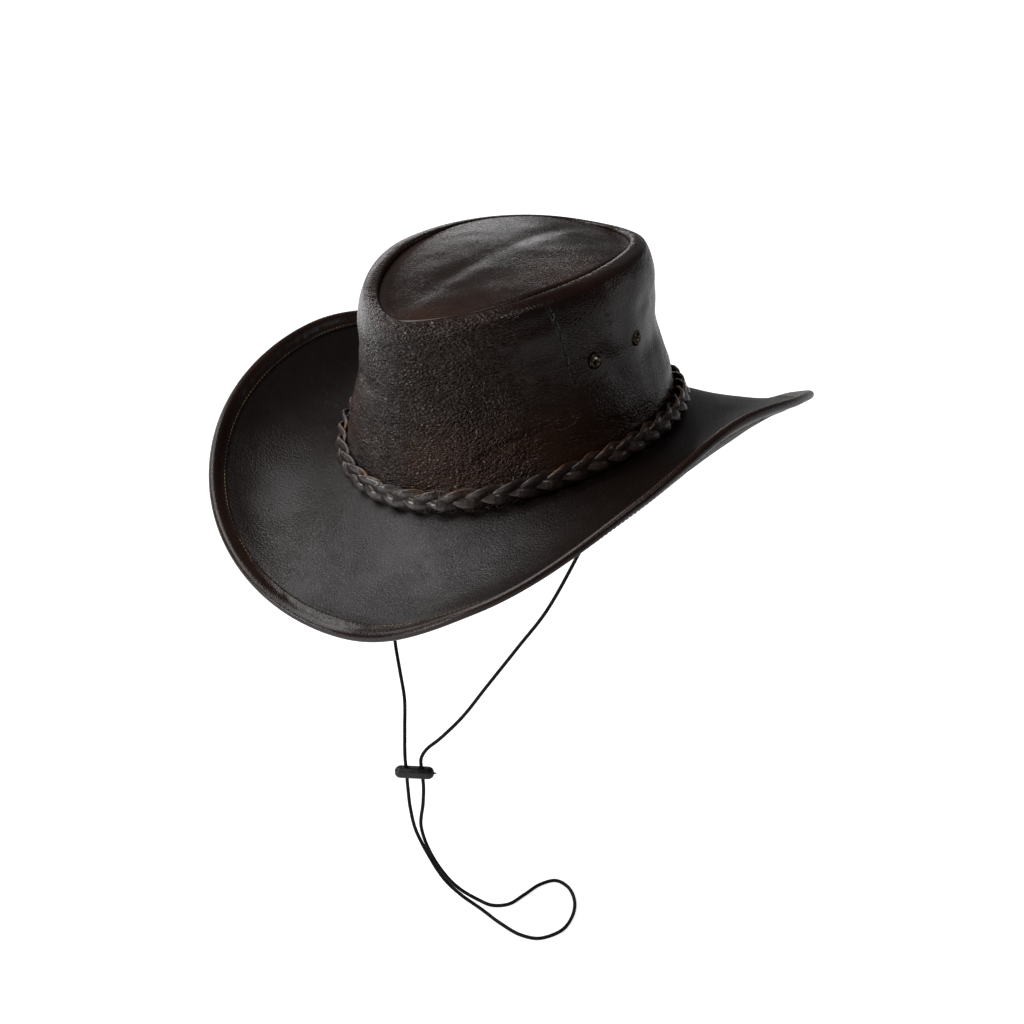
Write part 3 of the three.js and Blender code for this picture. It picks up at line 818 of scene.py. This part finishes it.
@made_once("glazed_strand")
def strand_leather(shader, n):
    """Glazed lace leather: the wide faces are dark and glossy, the narrow cut sides are raw in places."""
    place = n.object_place()
    skin = leather(n, place, 0.0009, 0.6, creases=0.3, warmth=0.6, wear=0.5, roughness=0.26, base="strand")
    along, around, _ = n.split(n.surface_place())
    drawn = n.join(n.times(along, 90), n.times(around, 9), 0.0)
    pinched = n.join(n.times(along, 420), n.times(around, 5), 0.0)
    wrinkles = n.plus(n.noise(drawn, 1.0, 3, 0.6), n.times(n.noise(pinched, 1.0, 3, 0.6), 0.8))
    side = n.math("ABSOLUTE", n.math("COSINE", n.times(around, 2 * math.pi)))
    raw = n.times(n.range(side, 0.9, 0.985), n.range(n.noise(place, 55, 3, 0.6), 0.46, 0.58))
    shade = n.mix(raw, skin["Colour"], colour("cut"))
    rough = n.plus(skin["Roughness"], n.times(raw, 0.4), clamp=True)
    n.surface(shader, shade, rough, n.plus(n.times(skin["Height"], 0.35), wrinkles), 0.0009)
    shader.inputs["Coat Weight"].default_value = 0.8
    shader.inputs["Coat Roughness"].default_value = 0.2


@made_once("antique_brass")
def brass_finish(shader, n):
    """Antique brass, tarnished dark in patches, with painted light: its inner barrels are coloured pale as
    if lit through the holes.
    """
    place = n.object_place()
    lit_barrel = n.attribute("rub")
    # Painted light: the inner barrels are coloured pale brass and kept free of tarnish, as if lit through
    # the holes.
    brass = n.mix(lit_barrel, colour("brass"), (0.3, 0.25, 0.19, 1))
    tarnish = n.range(n.noise(place, 420, 5, 0.6), 0.36, 0.66)
    tarnish = n.times(tarnish, n.minus(1.0, n.times(lit_barrel, 0.8)))
    shade = n.mix(n.times(tarnish, 0.75), brass, (0.018, 0.014, 0.011, 1))
    n.surface(shader, shade, n.range(tarnish, 0, 1, 0.3, 0.55), n.noise(place, 1500, 3), 0.00003)
    shader.inputs["Metallic"].default_value = 1.0


@made_once("waxed_thread")
def thread_finish(shader, n):
    """Waxed thread, grimy in places."""
    place = n.object_place()
    grime = n.range(n.noise(place, 45, 4, 0.6), 0.38, 0.62)
    shade = n.mix(grime, colour("thread"), (0.025, 0.018, 0.012, 1))
    n.surface(shader, shade, n.range(grime, 0, 1, 0.5, 0.7), n.noise(place, 3500, 2), 0.00006)


@made_once("woven_cord")
def cord_finish(shader, n):
    """Round woven cord: two families of slanting yarns along its surface map."""
    u, v, _ = n.split(n.surface_place())
    along = n.times(u, 2 * math.pi * 800)
    around = n.times(v, 2 * math.pi * 6)
    one = n.math("SINE", n.plus(along, around))
    other = n.math("SINE", n.minus(along, around))
    yarns = n.math("MAXIMUM", one, other)
    # Painted shade: the grooves between the yarns are coloured darker, besides their relief.
    shade = n.mix(n.range(yarns, -0.2, 1.0), (0.0015, 0.0015, 0.0015, 1), colour("cord"))
    rough = n.range(n.noise(n.object_place(), 300, 3), 0.3, 0.7, 0.42, 0.62)
    n.surface(shader, shade, rough, yarns, 0.00016, specular=0.3)


@made_once("moulded_plastic")
def toggle_finish(shader, n):
    """Moulded black plastic with a fine spark texture and handling haze."""
    place = n.object_place()
    haze = n.noise(place, 160, 4, 0.6)
    shade = n.mix(n.range(haze, 0.4, 0.75), colour("toggle"), (0.03, 0.03, 0.034, 1))
    n.surface(shader, shade, n.range(haze, 0.3, 0.7, 0.22, 0.4), n.noise(place, 2600, 2), 0.00002)


@made_once("floor_white")
def floor_finish(shader, n):
    """White to the eye, glowing as painted light to glossy rays, brightest ahead and to the left, and grey
    in its own light.
    """
    ray = n.tree.nodes.new("ShaderNodeLightPath").outputs
    place = n.object_place()
    seen = n.range(ray["Is Camera Ray"], 0, 1, 0.45, 0.93)
    shade = n.plus(seen, n.range(n.noise(place, 3, 2), 0.3, 0.7, 0, 0.01))
    n.link(n.join(shade, shade, shade), shader.inputs["Base Color"])
    x, y, _ = n.split(place)
    # Painted reflection: the floor glows only to glossy rays, more ahead and to the left, so the hat shows a
    # bright sheen there.
    ahead = n.math("MULTIPLY_ADD", x, -0.8, n.times(y, -0.6))
    glossy_glow = n.times(ray["Is Glossy Ray"], n.range(ahead, -0.2, 0.8, 0.26, 1.0))
    glow = n.plus(n.times(ray["Is Camera Ray"], 0.84), glossy_glow)
    n.link(glow, shader.inputs["Emission Strength"])
    shader.inputs["Emission Color"].default_value = (1, 1, 1, 1)
    shader.inputs["Roughness"].default_value = 0.9
    shader.inputs["Specular IOR Level"].default_value = 0.1


# Pieces


class HAT_OT_view(bpy.types.Operator):
    """Places the camera."""

    bl_idname = "hat.view"
    bl_label = "Camera"

    def execute(self, context):
        turn = math.radians(VIEW_TURN)
        rise = math.radians(VIEW_RISE)
        right = Vector((math.cos(turn), math.sin(turn), 0))
        back = Vector((math.sin(turn) * math.cos(rise), -math.cos(turn) * math.cos(rise), math.sin(rise)))
        axes = Matrix((right, back.cross(right), back)).transposed()
        axes = axes @ Matrix.Rotation(-math.radians(VIEW_ROLL), 3, "Z")
        data = bpy.data.cameras.new("hat_camera")
        data.lens = VIEW_LENS
        data.sensor_width = 36
        data.clip_start = 0.05
        data.clip_end = 60
        camera = bpy.data.objects.new("hat_camera", data)
        camera.location = VIEW_FROM
        camera.rotation_euler = axes.to_euler()
        context.scene.collection.objects.link(camera)
        context.scene.camera = camera
        return {"FINISHED"}


def cord_line():
    """Points close together on one smooth curve through the cord's route."""
    route = [Vector(point) for point in CORD_ROUTE]
    ends = [route[0] * 2 - route[1], *route, route[-1] * 2 - route[-2]]
    line = []
    for a, b, c, d in zip(ends, ends[1:], ends[2:], ends[3:]):
        first = (b - a).length ** 0.5
        middle = (c - b).length ** 0.5
        last = (d - c).length ** 0.5
        out = ((b - a) / first - (c - a) / (first + middle) + (c - b) / middle) * middle
        into = ((c - b) / middle - (d - b) / (middle + last) + (d - c) / last) * middle
        steps = max(2, round((c - b).length / 0.0008))
        for i in range(steps):
            p = i / steps
            hermite = b * (1 + 2 * p) * (1 - p) ** 2 + out * p * (1 - p) ** 2
            line.append(hermite + c * p * p * (3 - 2 * p) - into * p * p * (1 - p))
    return [*line, route[-1]]


class HAT_OT_cord(bpy.types.Operator):
    """Lays the chin cord with its toggle."""

    bl_idname = "hat.cord"
    bl_label = "Chin Cord"

    def execute(self, context):
        line = cord_line()
        radius = context.scene.hat_shape.cord / 2
        frames = []
        side = Vector((1, 0, 0))
        for i, point in enumerate(line):
            ahead = (line[min(i + 1, len(line) - 1)] - line[max(i - 1, 0)]).normalized()
            side = (side - ahead * side.dot(ahead)).normalized()
            frames.append((point, side, ahead.cross(side)))

        def place(u, v):
            point, side, other = frames[round(u * (len(frames) - 1))]
            angle = 2 * math.pi * v
            return point + (side * math.cos(angle) + other * math.sin(angle)) * radius

        cord = swept("chin_cord_woven", len(frames) - 1, 12, place, capped=True)
        dressed(cord, cord_finish(), "cord_black", "chin_cord")
        toggle = self.toggle()
        return {"FINISHED"}

    def toggle(self):
        """A moulded bar with round ends, two holes and a small nib."""
        low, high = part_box("cord_toggle")
        height = high.z - low.z
        mesh = bmesh.new()
        bmesh.ops.create_circle(mesh, segments=48, radius=TOGGLE_DEPTH / 2, cap_ends=True)
        for vert in mesh.verts:
            vert.co.x += math.copysign((TOGGLE_LENGTH - TOGGLE_DEPTH) / 2, vert.co.x)
            vert.co.z = -height / 2
        top = bmesh.ops.extrude_face_region(mesh, geom=mesh.faces[:])["geom"]
        risen = [part for part in top if isinstance(part, bmesh.types.BMVert)]
        bmesh.ops.translate(mesh, verts=risen, vec=(0, 0, height))
        rims = [edge for edge in mesh.edges if abs(edge.verts[0].co.z - edge.verts[1].co.z) < 1e-6]
        rounding = {"segments": 7, "profile": 0.5, "affect": "EDGES", "material": -1}
        bmesh.ops.bevel(mesh, geom=rims, offset=TOGGLE_ROUND, **rounding)
        turn = Matrix.Translation((low + high) / 2) @ Matrix.Rotation(math.radians(25), 4, "Z")
        mesh.transform(turn)
        toggle = finished("cord_toggle_moulded", mesh)
        holes = [turn @ Matrix.Translation((side * HOLE_OFFSET, 0, 0)) for side in (-1, 1)]
        bored(toggle, holes, radius=HOLE_RADIUS, depth=0.02, segments=20)
        mesh = bmesh.new()
        mesh.from_mesh(toggle.data)
        nib_place = Matrix.Translation((TOGGLE_LENGTH / 2 + NIB_LENGTH / 3, 0, 0))
        nib = turn @ nib_place @ facing(Vector((1, 0, 0)))
        bmesh.ops.create_cone(
            mesh, cap_ends=True, segments=12, radius1=0.0007, radius2=0.0003, depth=NIB_LENGTH, matrix=nib
        )
        mesh.to_mesh(toggle.data)
        mesh.free()
        shade_by_angle(toggle, 35)
        return dressed(toggle, toggle_finish(), "toggle_black", "cord_toggle")


def facing(direction):
    """Axes whose Z looks in a direction."""
    return direction.to_track_quat("Z", "Y").to_matrix().to_4x4()


def bored(piece, places, radius, depth, segments):
    """The piece with a round hole at each place, through its local Z."""
    drills = []
    for place in places:
        mesh = bmesh.new()
        bmesh.ops.create_cone(
            mesh, cap_ends=True, segments=segments, radius1=radius, radius2=radius, depth=depth, matrix=place
        )
        drills.append(finished("drill", mesh))
        cut = piece.modifiers.new("bore", "BOOLEAN")
        cut.operation = "DIFFERENCE"
        cut.solver = "EXACT"
        cut.object = drills[-1]
    applied(piece)
    for drill in drills:
        bpy.data.objects.remove(drill)


def shade_by_angle(piece, degrees):
    """Smooth shading with edges sharper than the angle kept crisp."""
    mesh = bmesh.new()
    mesh.from_mesh(piece.data)
    for edge in mesh.edges:
        edge.smooth = not edge.is_manifold or edge.calc_face_angle(0) < math.radians(degrees)
    for face in mesh.faces:
        face.smooth = True
    mesh.to_mesh(piece.data)
    mesh.free()


class HAT_OT_crown(bpy.types.Operator):
    """Shapes the crown's wall, rolled over at its ridge, with its vent holes."""

    bl_idname = "hat.crown"
    bl_label = "Crown"

    def execute(self, context):
        inner_radius = LIP_RADIUS - CROWN_WALL
        quarter = math.pi / 2

        def rolled(turn, radius, bend, drop=0.0):
            along, across = crisp(bend)
            point = crown_point(turn, 1, radius * along)
            point.z += radius * across - LIP_RADIUS - drop
            return point

        def inside(turn, rise):
            return crown_point(turn, rise) - crown_normal(turn, rise) * CROWN_WALL

        def section(turn):
            stretches = [
                lambda p: crown_skin(turn, p),
                lambda p: rolled(turn, LIP_RADIUS, p * quarter),
                lambda p: rolled(turn, LIP_RADIUS, quarter, p * LIP_DEPTH),
                lambda p: rolled(turn, mix(LIP_RADIUS, inner_radius, p), quarter, LIP_DEPTH),
                lambda p: rolled(turn, inner_radius, quarter, (1 - p) * LIP_DEPTH),
                lambda p: rolled(turn, inner_radius, (1 - p) * quarter),
                lambda p: inside(turn, mix(0.96, 0.01, p)),
                lambda p: inside(turn, 0.01).lerp(crown_point(turn, 0), p),
            ]
            return list(zip(CROWN_RUNS, stretches))

        crown = swept("crown_side_leather", 280, 104, lambda u, v: along_section(section(360 * u), v))
        places = [Matrix.Translation(centre) @ facing(outward) for centre, outward in eyelet_places()]
        bored(crown, places, radius=0.003, depth=0.013, segments=24)
        dressed(crown, crown_leather(), "crown_leather", "crown_side")
        return {"FINISHED"}


def eyelet_places():
    """The centre and outward direction of each eyelet, left side first."""
    turns = [(side * eyelet["turn"], eyelet["rise"]) for side in (1, -1) for eyelet in EYELETS]
    return [(crown_point(turn, rise), crown_normal(turn, rise)) for turn, rise in turns]


class HAT_OT_top(bpy.types.Operator):
    """Shapes the teardrop top panel with its turned border and centre crease."""

    bl_idname = "hat.top"
    bl_label = "Top Panel"

    def execute(self, context):
        inward = LIP_RADIUS + GAP + PANEL_ROUND
        level = (crown_point(0, 1).z + crown_point(90, 1).z) / 2 - PANEL_SINK
        sunk = PANEL_SINK + PANEL_ROUND
        drop = LIP_RADIUS + LIP_DEPTH - sunk
        inner = PANEL_ROUND - PANEL_WALL
        quarter = math.pi / 2
        middle = Vector((0, crown_shift(1) * HEAD_LENGTH, 0))

        def raised(turn):
            return panel_set((turn + 180) % 360 - 180)

        def panel(turn, share, depth=0.0):
            """A point of the panel: share is 0 at its middle and 1 at its border."""
            border = crown_point(turn, 1, inward)
            point = middle.lerp(Vector((border.x, border.y, 0)), share)
            lift = (border.z - PANEL_SINK - level) * share**2
            dome = PANEL_DOME * (1 - share**2)
            fold = point.x + CREASE_SHIFT - CREASE_LEAN * point.y
            crease = CREASE_DEPTH * math.exp(-((fold / CREASE_WIDTH) ** 2)) * (1 - share**4)
            point.z = level + lift + dome - crease - depth + raised(turn) * share**2
            fade = 1 - share**6
            point.z += sway(point, context.scene.hat_shape.sway * 0.45, 0.028) * fade
            return point

        def turned(turn, radius, bend, down=0.0):
            along, across = crisp(bend)
            point = crown_point(turn, 1, inward - radius * along)
            point.z += radius * across - sunk - down + raised(turn) * max(across, 0.4)
            return point

        def section(turn):
            return [
                (0.07, lambda p: panel(turn, p)),
                (0.006, lambda p: turned(turn, PANEL_ROUND, p * quarter)),
                (drop, lambda p: turned(turn, PANEL_ROUND, quarter, p * drop)),
                (PANEL_WALL, lambda p: turned(turn, mix(PANEL_ROUND, inner, p), quarter, drop)),
                (drop, lambda p: turned(turn, inner, quarter, (1 - p) * drop)),
                (0.03, lambda p: panel(turn, 1 - p, PANEL_WALL)),
            ]

        top = swept("crown_top_leather", 192, 64, lambda u, v: along_section(section(360 * u), v))
        dressed(top, panel_leather(), "crown_leather", "crown_top")
        return {"FINISHED"}


class HAT_OT_brim(bpy.types.Operator):
    """Shapes the brim, its turned edge and the edge's stitches."""

    bl_idname = "hat.brim"
    bl_label = "Brim"

    def execute(self, context):
        shape = context.scene.hat_shape
        half = BRIM_WALL / 2

        def surface(turn, along, over):
            point = brim_point(turn, along, over)
            share = along / width_at(turn)
            fade = smooth_step(0.15, 0.45, share) * smooth_step(0.88, 0.7, share)
            return point + Vector((0, 0, sway(point, shape.sway * 0.7, 0.034) * fade))

        def section(turn):
            flat = width_at(turn) - EDGE_TURN - EDGE_SKIVE
            end = flat + EDGE_SKIVE + EDGE_TURN
            thin = SKIVED_WALL / 2
            return [
                (flat, lambda p: surface(turn, flat * p, half)),
                (EDGE_SKIVE, lambda p: brim_point(turn, flat + EDGE_SKIVE * p, mix(half, thin, p))),
                (EDGE_TURN / 2, lambda p: brim_point(turn, flat + EDGE_SKIVE + EDGE_TURN * p, thin)),
                (SKIVED_WALL, lambda p: brim_point(turn, end, mix(thin, -thin, p))),
                (EDGE_TURN / 2, lambda p: brim_point(turn, end - EDGE_TURN * p, -thin)),
                (EDGE_SKIVE, lambda p: brim_point(turn, flat + EDGE_SKIVE * (1 - p), mix(-thin, -half, p))),
                (flat, lambda p: surface(turn, flat * (1 - p), -half)),
                (BRIM_WALL, lambda p: brim_point(turn, 0, mix(-half, half, p))),
            ]

        brim = swept("brim_leather", 240, 72, lambda u, v: along_section(section(360 * u), v))
        dressed(brim, brim_leather(), "brim_leather", "brim")
        self.edge(context)
        self.stitches(context)
        return {"FINISHED"}

    def edge(self, context):
        """The leather turned round a wire, drawn into small puckers by its stitches."""
        slot = SKIVED_WALL / 2 + GAP / 2
        outer = slot + EDGE_LEATHER
        roll = EDGE_ROLL / 2
        depth = context.scene.hat_shape.puckers

        def pucker(turn, along_share):
            place = Vector((turn * 0.55, along_share * 1.5, 3.7))
            ripple = 0.5 + noise.noise(place) + 0.4 * noise.noise(place * 2.1)
            return depth * ripple * math.sin(math.pi * min(max(along_share, 0), 1))

        def face(turn, share, side):
            along = width_at(turn) - EDGE_TURN * (1 - share)
            bulge = (roll - outer) * smooth_step(0.35, 0.95, share)
            start = smooth_step(0, 0.09, share)
            over = mix(slot, outer, start) + bulge + pucker(turn, share) * (1 - share)
            return brim_point(turn, along, side * over)

        def rim(turn, bend):
            return brim_point(turn, width_at(turn) + roll * math.sin(bend), roll * math.cos(bend))

        def section(turn):
            end = width_at(turn)
            return [
                (EDGE_TURN, lambda p: face(turn, p, 1)),
                (math.pi * roll, lambda p: rim(turn, math.pi * p)),
                (EDGE_TURN, lambda p: face(turn, 1 - p, -1)),
                (0.001, lambda p: brim_point(turn, end - EDGE_TURN * (1 - p), -slot)),
                (0.0006, lambda p: brim_point(turn, end + GAP, mix(-slot, slot, p))),
                (0.001, lambda p: brim_point(turn, end - EDGE_TURN * p, slot)),
            ]

        edge = swept("brim_edge_leather", 720, 44, lambda u, v: along_section(section(360 * u), v))
        dressed(edge, edge_leather(), "edge_leather", "brim_binding")

    def stitches(self, context):
        """One row of sunk stitches through the turned edge, on both faces."""
        shape = context.scene.hat_shape
        over = SKIVED_WALL / 2 + GAP / 2 + EDGE_LEATHER
        turns = [i / 4 for i in range(1440)]
        row = [brim_point(turn, width_at(turn) - EDGE_TURN + STITCH_INSET, 0) for turn in turns]
        lengths = [0.0]
        for a, b in zip(row, row[1:] + row[:1]):
            lengths.append(lengths[-1] + (b - a).length)
        count = round(lengths[-1] / shape.stitch_pitch)
        places = []
        for i in range(count):
            at = (i + 0.5) * lengths[-1] / count
            j = bisect_right(lengths, at) - 1
            turn = (j + (at - lengths[j]) / (lengths[j + 1] - lengths[j])) / 4
            ahead = 360 * 0.5 * shape.stitch_pitch / lengths[-1]
            for side in (1, -1):
                along = width_at(turn) - EDGE_TURN + STITCH_INSET
                centre = brim_point(turn, along, side * (over + 0.00002))
                before = brim_point(turn - ahead, along, side * over)
                forward = brim_point(turn + ahead, along, side * over) - before
                up = brim_point(turn, along, side * (over + 0.001)) - brim_point(turn, along, side * over)
                grain = forward.cross(up).normalized()
                axes = Matrix((forward.normalized(), grain, up.normalized())).transposed().to_4x4()
                thread = shape.stitch_thread
                size = Matrix.Diagonal((shape.stitch_pitch * 0.4, thread / 2, thread * 0.45, 1))
                laid = Matrix.Translation(centre) @ axes @ size
                places.append(laid @ Matrix.Rotation(math.pi / 2, 4, "Y"))
        dressed(scattered("brim_stitches", places, 8, 5), thread_finish(), "edge_leather")


class HAT_OT_band(bpy.types.Operator):
    """Plaits the band from three flat strands."""

    bl_idname = "hat.band"
    bl_label = "Plaited Band"

    def execute(self, context):
        shape = context.scene.hat_shape
        low_rise = BAND_LIFT / CROWN_HEIGHT
        high_rise = (BAND_LIFT + BAND_WIDTH) / CROWN_HEIGHT
        stations = []
        for i in range(721):
            turn = i / 2
            low = crown_point(turn, low_rise)
            high = crown_point(turn, high_rise)
            up = (high - low).normalized()
            across = opening_at(turn)[1]
            out = (across - up * across.dot(up)).normalized()
            stations.append(((low + high) / 2 + out * (BAND_THICKNESS / 2 + GAP), up, out))
        lengths = [0.0]
        for a, b in zip(stations, stations[1:]):
            lengths.append(lengths[-1] + (b[0] - a[0]).length)

        def centre_line(share):
            at = (share % 1) * lengths[-1]
            j = min(bisect_right(lengths, at) - 1, 719)
            p = (at - lengths[j]) / (lengths[j + 1] - lengths[j])
            a, b = stations[j], stations[j + 1]
            return [x.lerp(y, p) for x, y in zip(a, b)]

        sway_up = (BAND_WIDTH - shape.strand_width) / 2
        sway_out = (BAND_THICKNESS - shape.strand_wall) / 2

        def strand_point(phase, share):
            angle = 2 * math.pi * (shape.plaits * share + phase)
            point, up, out = centre_line(share)
            return point + up * sway_up * math.sin(angle) + out * sway_out * math.sin(2 * angle)

        for strand in range(3):
            phase = strand / 3

            def place(u, v):
                point = strand_point(phase, u)
                ahead = (strand_point(phase, u + 4e-4) - strand_point(phase, u - 4e-4)).normalized()
                _, up, out = centre_line(u)
                angle = 2 * math.pi * (shape.plaits * u + phase)
                handmade = Vector((u * shape.plaits * 1.7, strand * 5.3, 0.4))
                lean = math.radians(16) * math.cos(angle) + math.radians(14) * noise.noise(handmade)
                flat = (out.cross(ahead)).normalized()
                face = ahead.cross(flat).normalized()
                wide = flat * math.cos(lean) + face * math.sin(lean)
                thick = face * math.cos(lean) - flat * math.sin(lean)
                around = 2 * math.pi * v
                width = shape.strand_width * (1 + 0.16 * noise.noise(handmade + Vector((0, 0, 9))))
                x = power(math.cos(around), 0.5) * width / 2
                y = power(math.sin(around), 0.5) * shape.strand_wall / 2
                crown = 0.0005 * (1 - (2 * x / width) ** 2)
                crown += 0.00022 * noise.noise(Vector((u * 260, v * 3, strand * 3.1)))
                return point + wide * x + thick * (y + crown)

            lace = swept(f"braid_strand_{strand + 1}", 45 * shape.plaits, 16, place)
            nodes = ["braid_band"] if strand == 0 else []
            dressed(lace, strand_leather(), "band_leather", *nodes)
        return {"FINISHED"}


class HAT_OT_eyelets(bpy.types.Operator):
    """Turns the four brass eyelets."""

    bl_idname = "hat.eyelets"
    bl_label = "Eyelets"

    def execute(self, context):
        names = ["left_front", "left_rear", "right_front", "right_rear"]
        back = -CROWN_WALL - 0.00045
        profile = [
            (0.0021, back - 0.0004),
            (0.0027, back - 0.0007),
            (0.0036, back - 0.0003),
            (0.0034, back),
            (0.0027, back),
            (0.0027, 0.0003),
            (0.0043, 0.0003),
            (0.00425, 0.0009),
            (0.0037, 0.0014),
            (0.003, 0.0015),
            (0.0024, 0.0011),
            (0.0021, 0.0003),
        ]
        for name, (centre, outward) in zip(names, eyelet_places()):
            mesh = bmesh.new()
            verts = [mesh.verts.new((x, 0, z)) for x, z in profile]
            edges = [mesh.edges.new((a, b)) for a, b in zip(verts, verts[1:] + verts[:1])]
            bmesh.ops.spin(
                mesh, geom=verts + edges, axis=(0, 0, 1), angle=2 * math.pi, steps=40, use_merge=True
            )
            bmesh.ops.remove_doubles(mesh, verts=mesh.verts, dist=1e-6)
            mesh.transform(Matrix.Translation(centre) @ facing(outward))
            eyelet = finished(f"eyelet_{name}_brass", mesh)
            # Painted light: marks the inner barrel, which the brass finish colours pale as if lit through
            # the hole.
            rub = eyelet.data.attributes.new("rub", "FLOAT", "POINT")
            for vert, value in zip(eyelet.data.vertices, rub.data):
                away = vert.co - centre
                radius = (away - outward * away.dot(outward)).length
                value.value = smooth_step(0.0027, 0.0022, radius)
            dressed(eyelet, brass_finish(), "eyelet_brass", f"eyelet_{name}")
        return {"FINISHED"}


class HAT_OT_tabs(bpy.types.Operator):
    """Dresses the two leather tabs that hold the cord's ends inside the crown."""

    bl_idname = "hat.tabs"
    bl_label = "Cord Tabs"

    def execute(self, context):
        for side in ("left", "right"):
            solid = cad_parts[f"cord_anchor_{side}"]
            mesh = bmesh.new()
            mesh.from_mesh(solid.data)
            bmesh.ops.remove_doubles(mesh, verts=mesh.verts, dist=1e-5)
            bmesh.ops.dissolve_limit(mesh, angle_limit=math.radians(2), verts=mesh.verts, edges=mesh.edges)
            sharp = [edge for edge in mesh.edges if edge.calc_face_angle(0) > math.radians(40)]
            rounding = {"segments": 3, "profile": 0.5, "affect": "EDGES", "material": -1}
            bmesh.ops.bevel(mesh, geom=sharp, offset=0.0005, **rounding)
            tab = finished(f"cord_tab_{side}", mesh)
            shade_by_angle(tab, 30)
            dressed(tab, brim_leather(), "brim_leather", f"cord_anchor_{side}")
        return {"FINISHED"}


class HAT_OT_stage(bpy.types.Operator):
    """Lays the pale floor and sets the soft studio light."""

    bl_idname = "hat.stage"
    bl_label = "Stage"

    def execute(self, context):
        mesh = bmesh.new()
        bmesh.ops.create_grid(mesh, x_segments=2, y_segments=2, size=6)
        bmesh.ops.translate(mesh, verts=mesh.verts, vec=(0, 0, GROUND))
        floor = finished("floor", mesh)
        floor.data.materials.append(floor_finish())
        world = bpy.data.worlds.new("studio")
        world.use_nodes = True
        sky = world.node_tree.nodes["Background"].inputs
        sky["Color"].default_value = (0.95, 0.98, 1, 1)
        sky["Strength"].default_value = 0.05
        context.scene.world = world
        for name, place, aim, size, watts in LIGHTS:
            data = bpy.data.lights.new(name, "AREA")
            data.shape = "RECTANGLE"
            data.size, data.size_y = size
            data.energy = watts
            lamp = bpy.data.objects.new(name, data)
            lamp.location = place
            lamp.rotation_euler = (Vector(aim) - lamp.location).to_track_quat("-Z", "Y").to_euler()
            context.scene.collection.objects.link(lamp)
        context.scene.view_settings.view_transform = "Standard"
        return {"FINISHED"}


class HAT_PT_panel(bpy.types.Panel):
    """Lists the hat's sizes, colours and pieces."""

    bl_idname = "HAT_PT_panel"
    bl_label = "Leather Hat"
    bl_space_type = "VIEW_3D"
    bl_region_type = "UI"
    bl_category = "Hat"

    def draw(self, context):
        for group in (context.scene.hat_shape, context.scene.hat_colours):
            box = self.layout.box()
            for name in group.__annotations__:
                box.prop(group, name)
        for step in STEPS:
            self.layout.operator(step.bl_idname)


STEPS = (
    HAT_OT_view,
    HAT_OT_cord,
    HAT_OT_crown,
    HAT_OT_top,
    HAT_OT_brim,
    HAT_OT_band,
    HAT_OT_eyelets,
    HAT_OT_tabs,
    HAT_OT_stage,
)


def register():
    for made in (HatShape, HatColours, *STEPS, HAT_PT_panel):
        bpy.utils.register_class(made)
    bpy.types.Scene.hat_shape = PointerProperty(type=HatShape)
    bpy.types.Scene.hat_colours = PointerProperty(type=HatColours)


def unregister():
    del bpy.types.Scene.hat_colours
    del bpy.types.Scene.hat_shape
    for made in (HAT_PT_panel, *reversed(STEPS), HatColours, HatShape):
        bpy.utils.unregister_class(made)


def main():
    register()
    for step in STEPS:
        group, name = step.bl_idname.split(".")
        getattr(getattr(bpy.ops, group), name)()


if __name__ == "__main__":
    main()
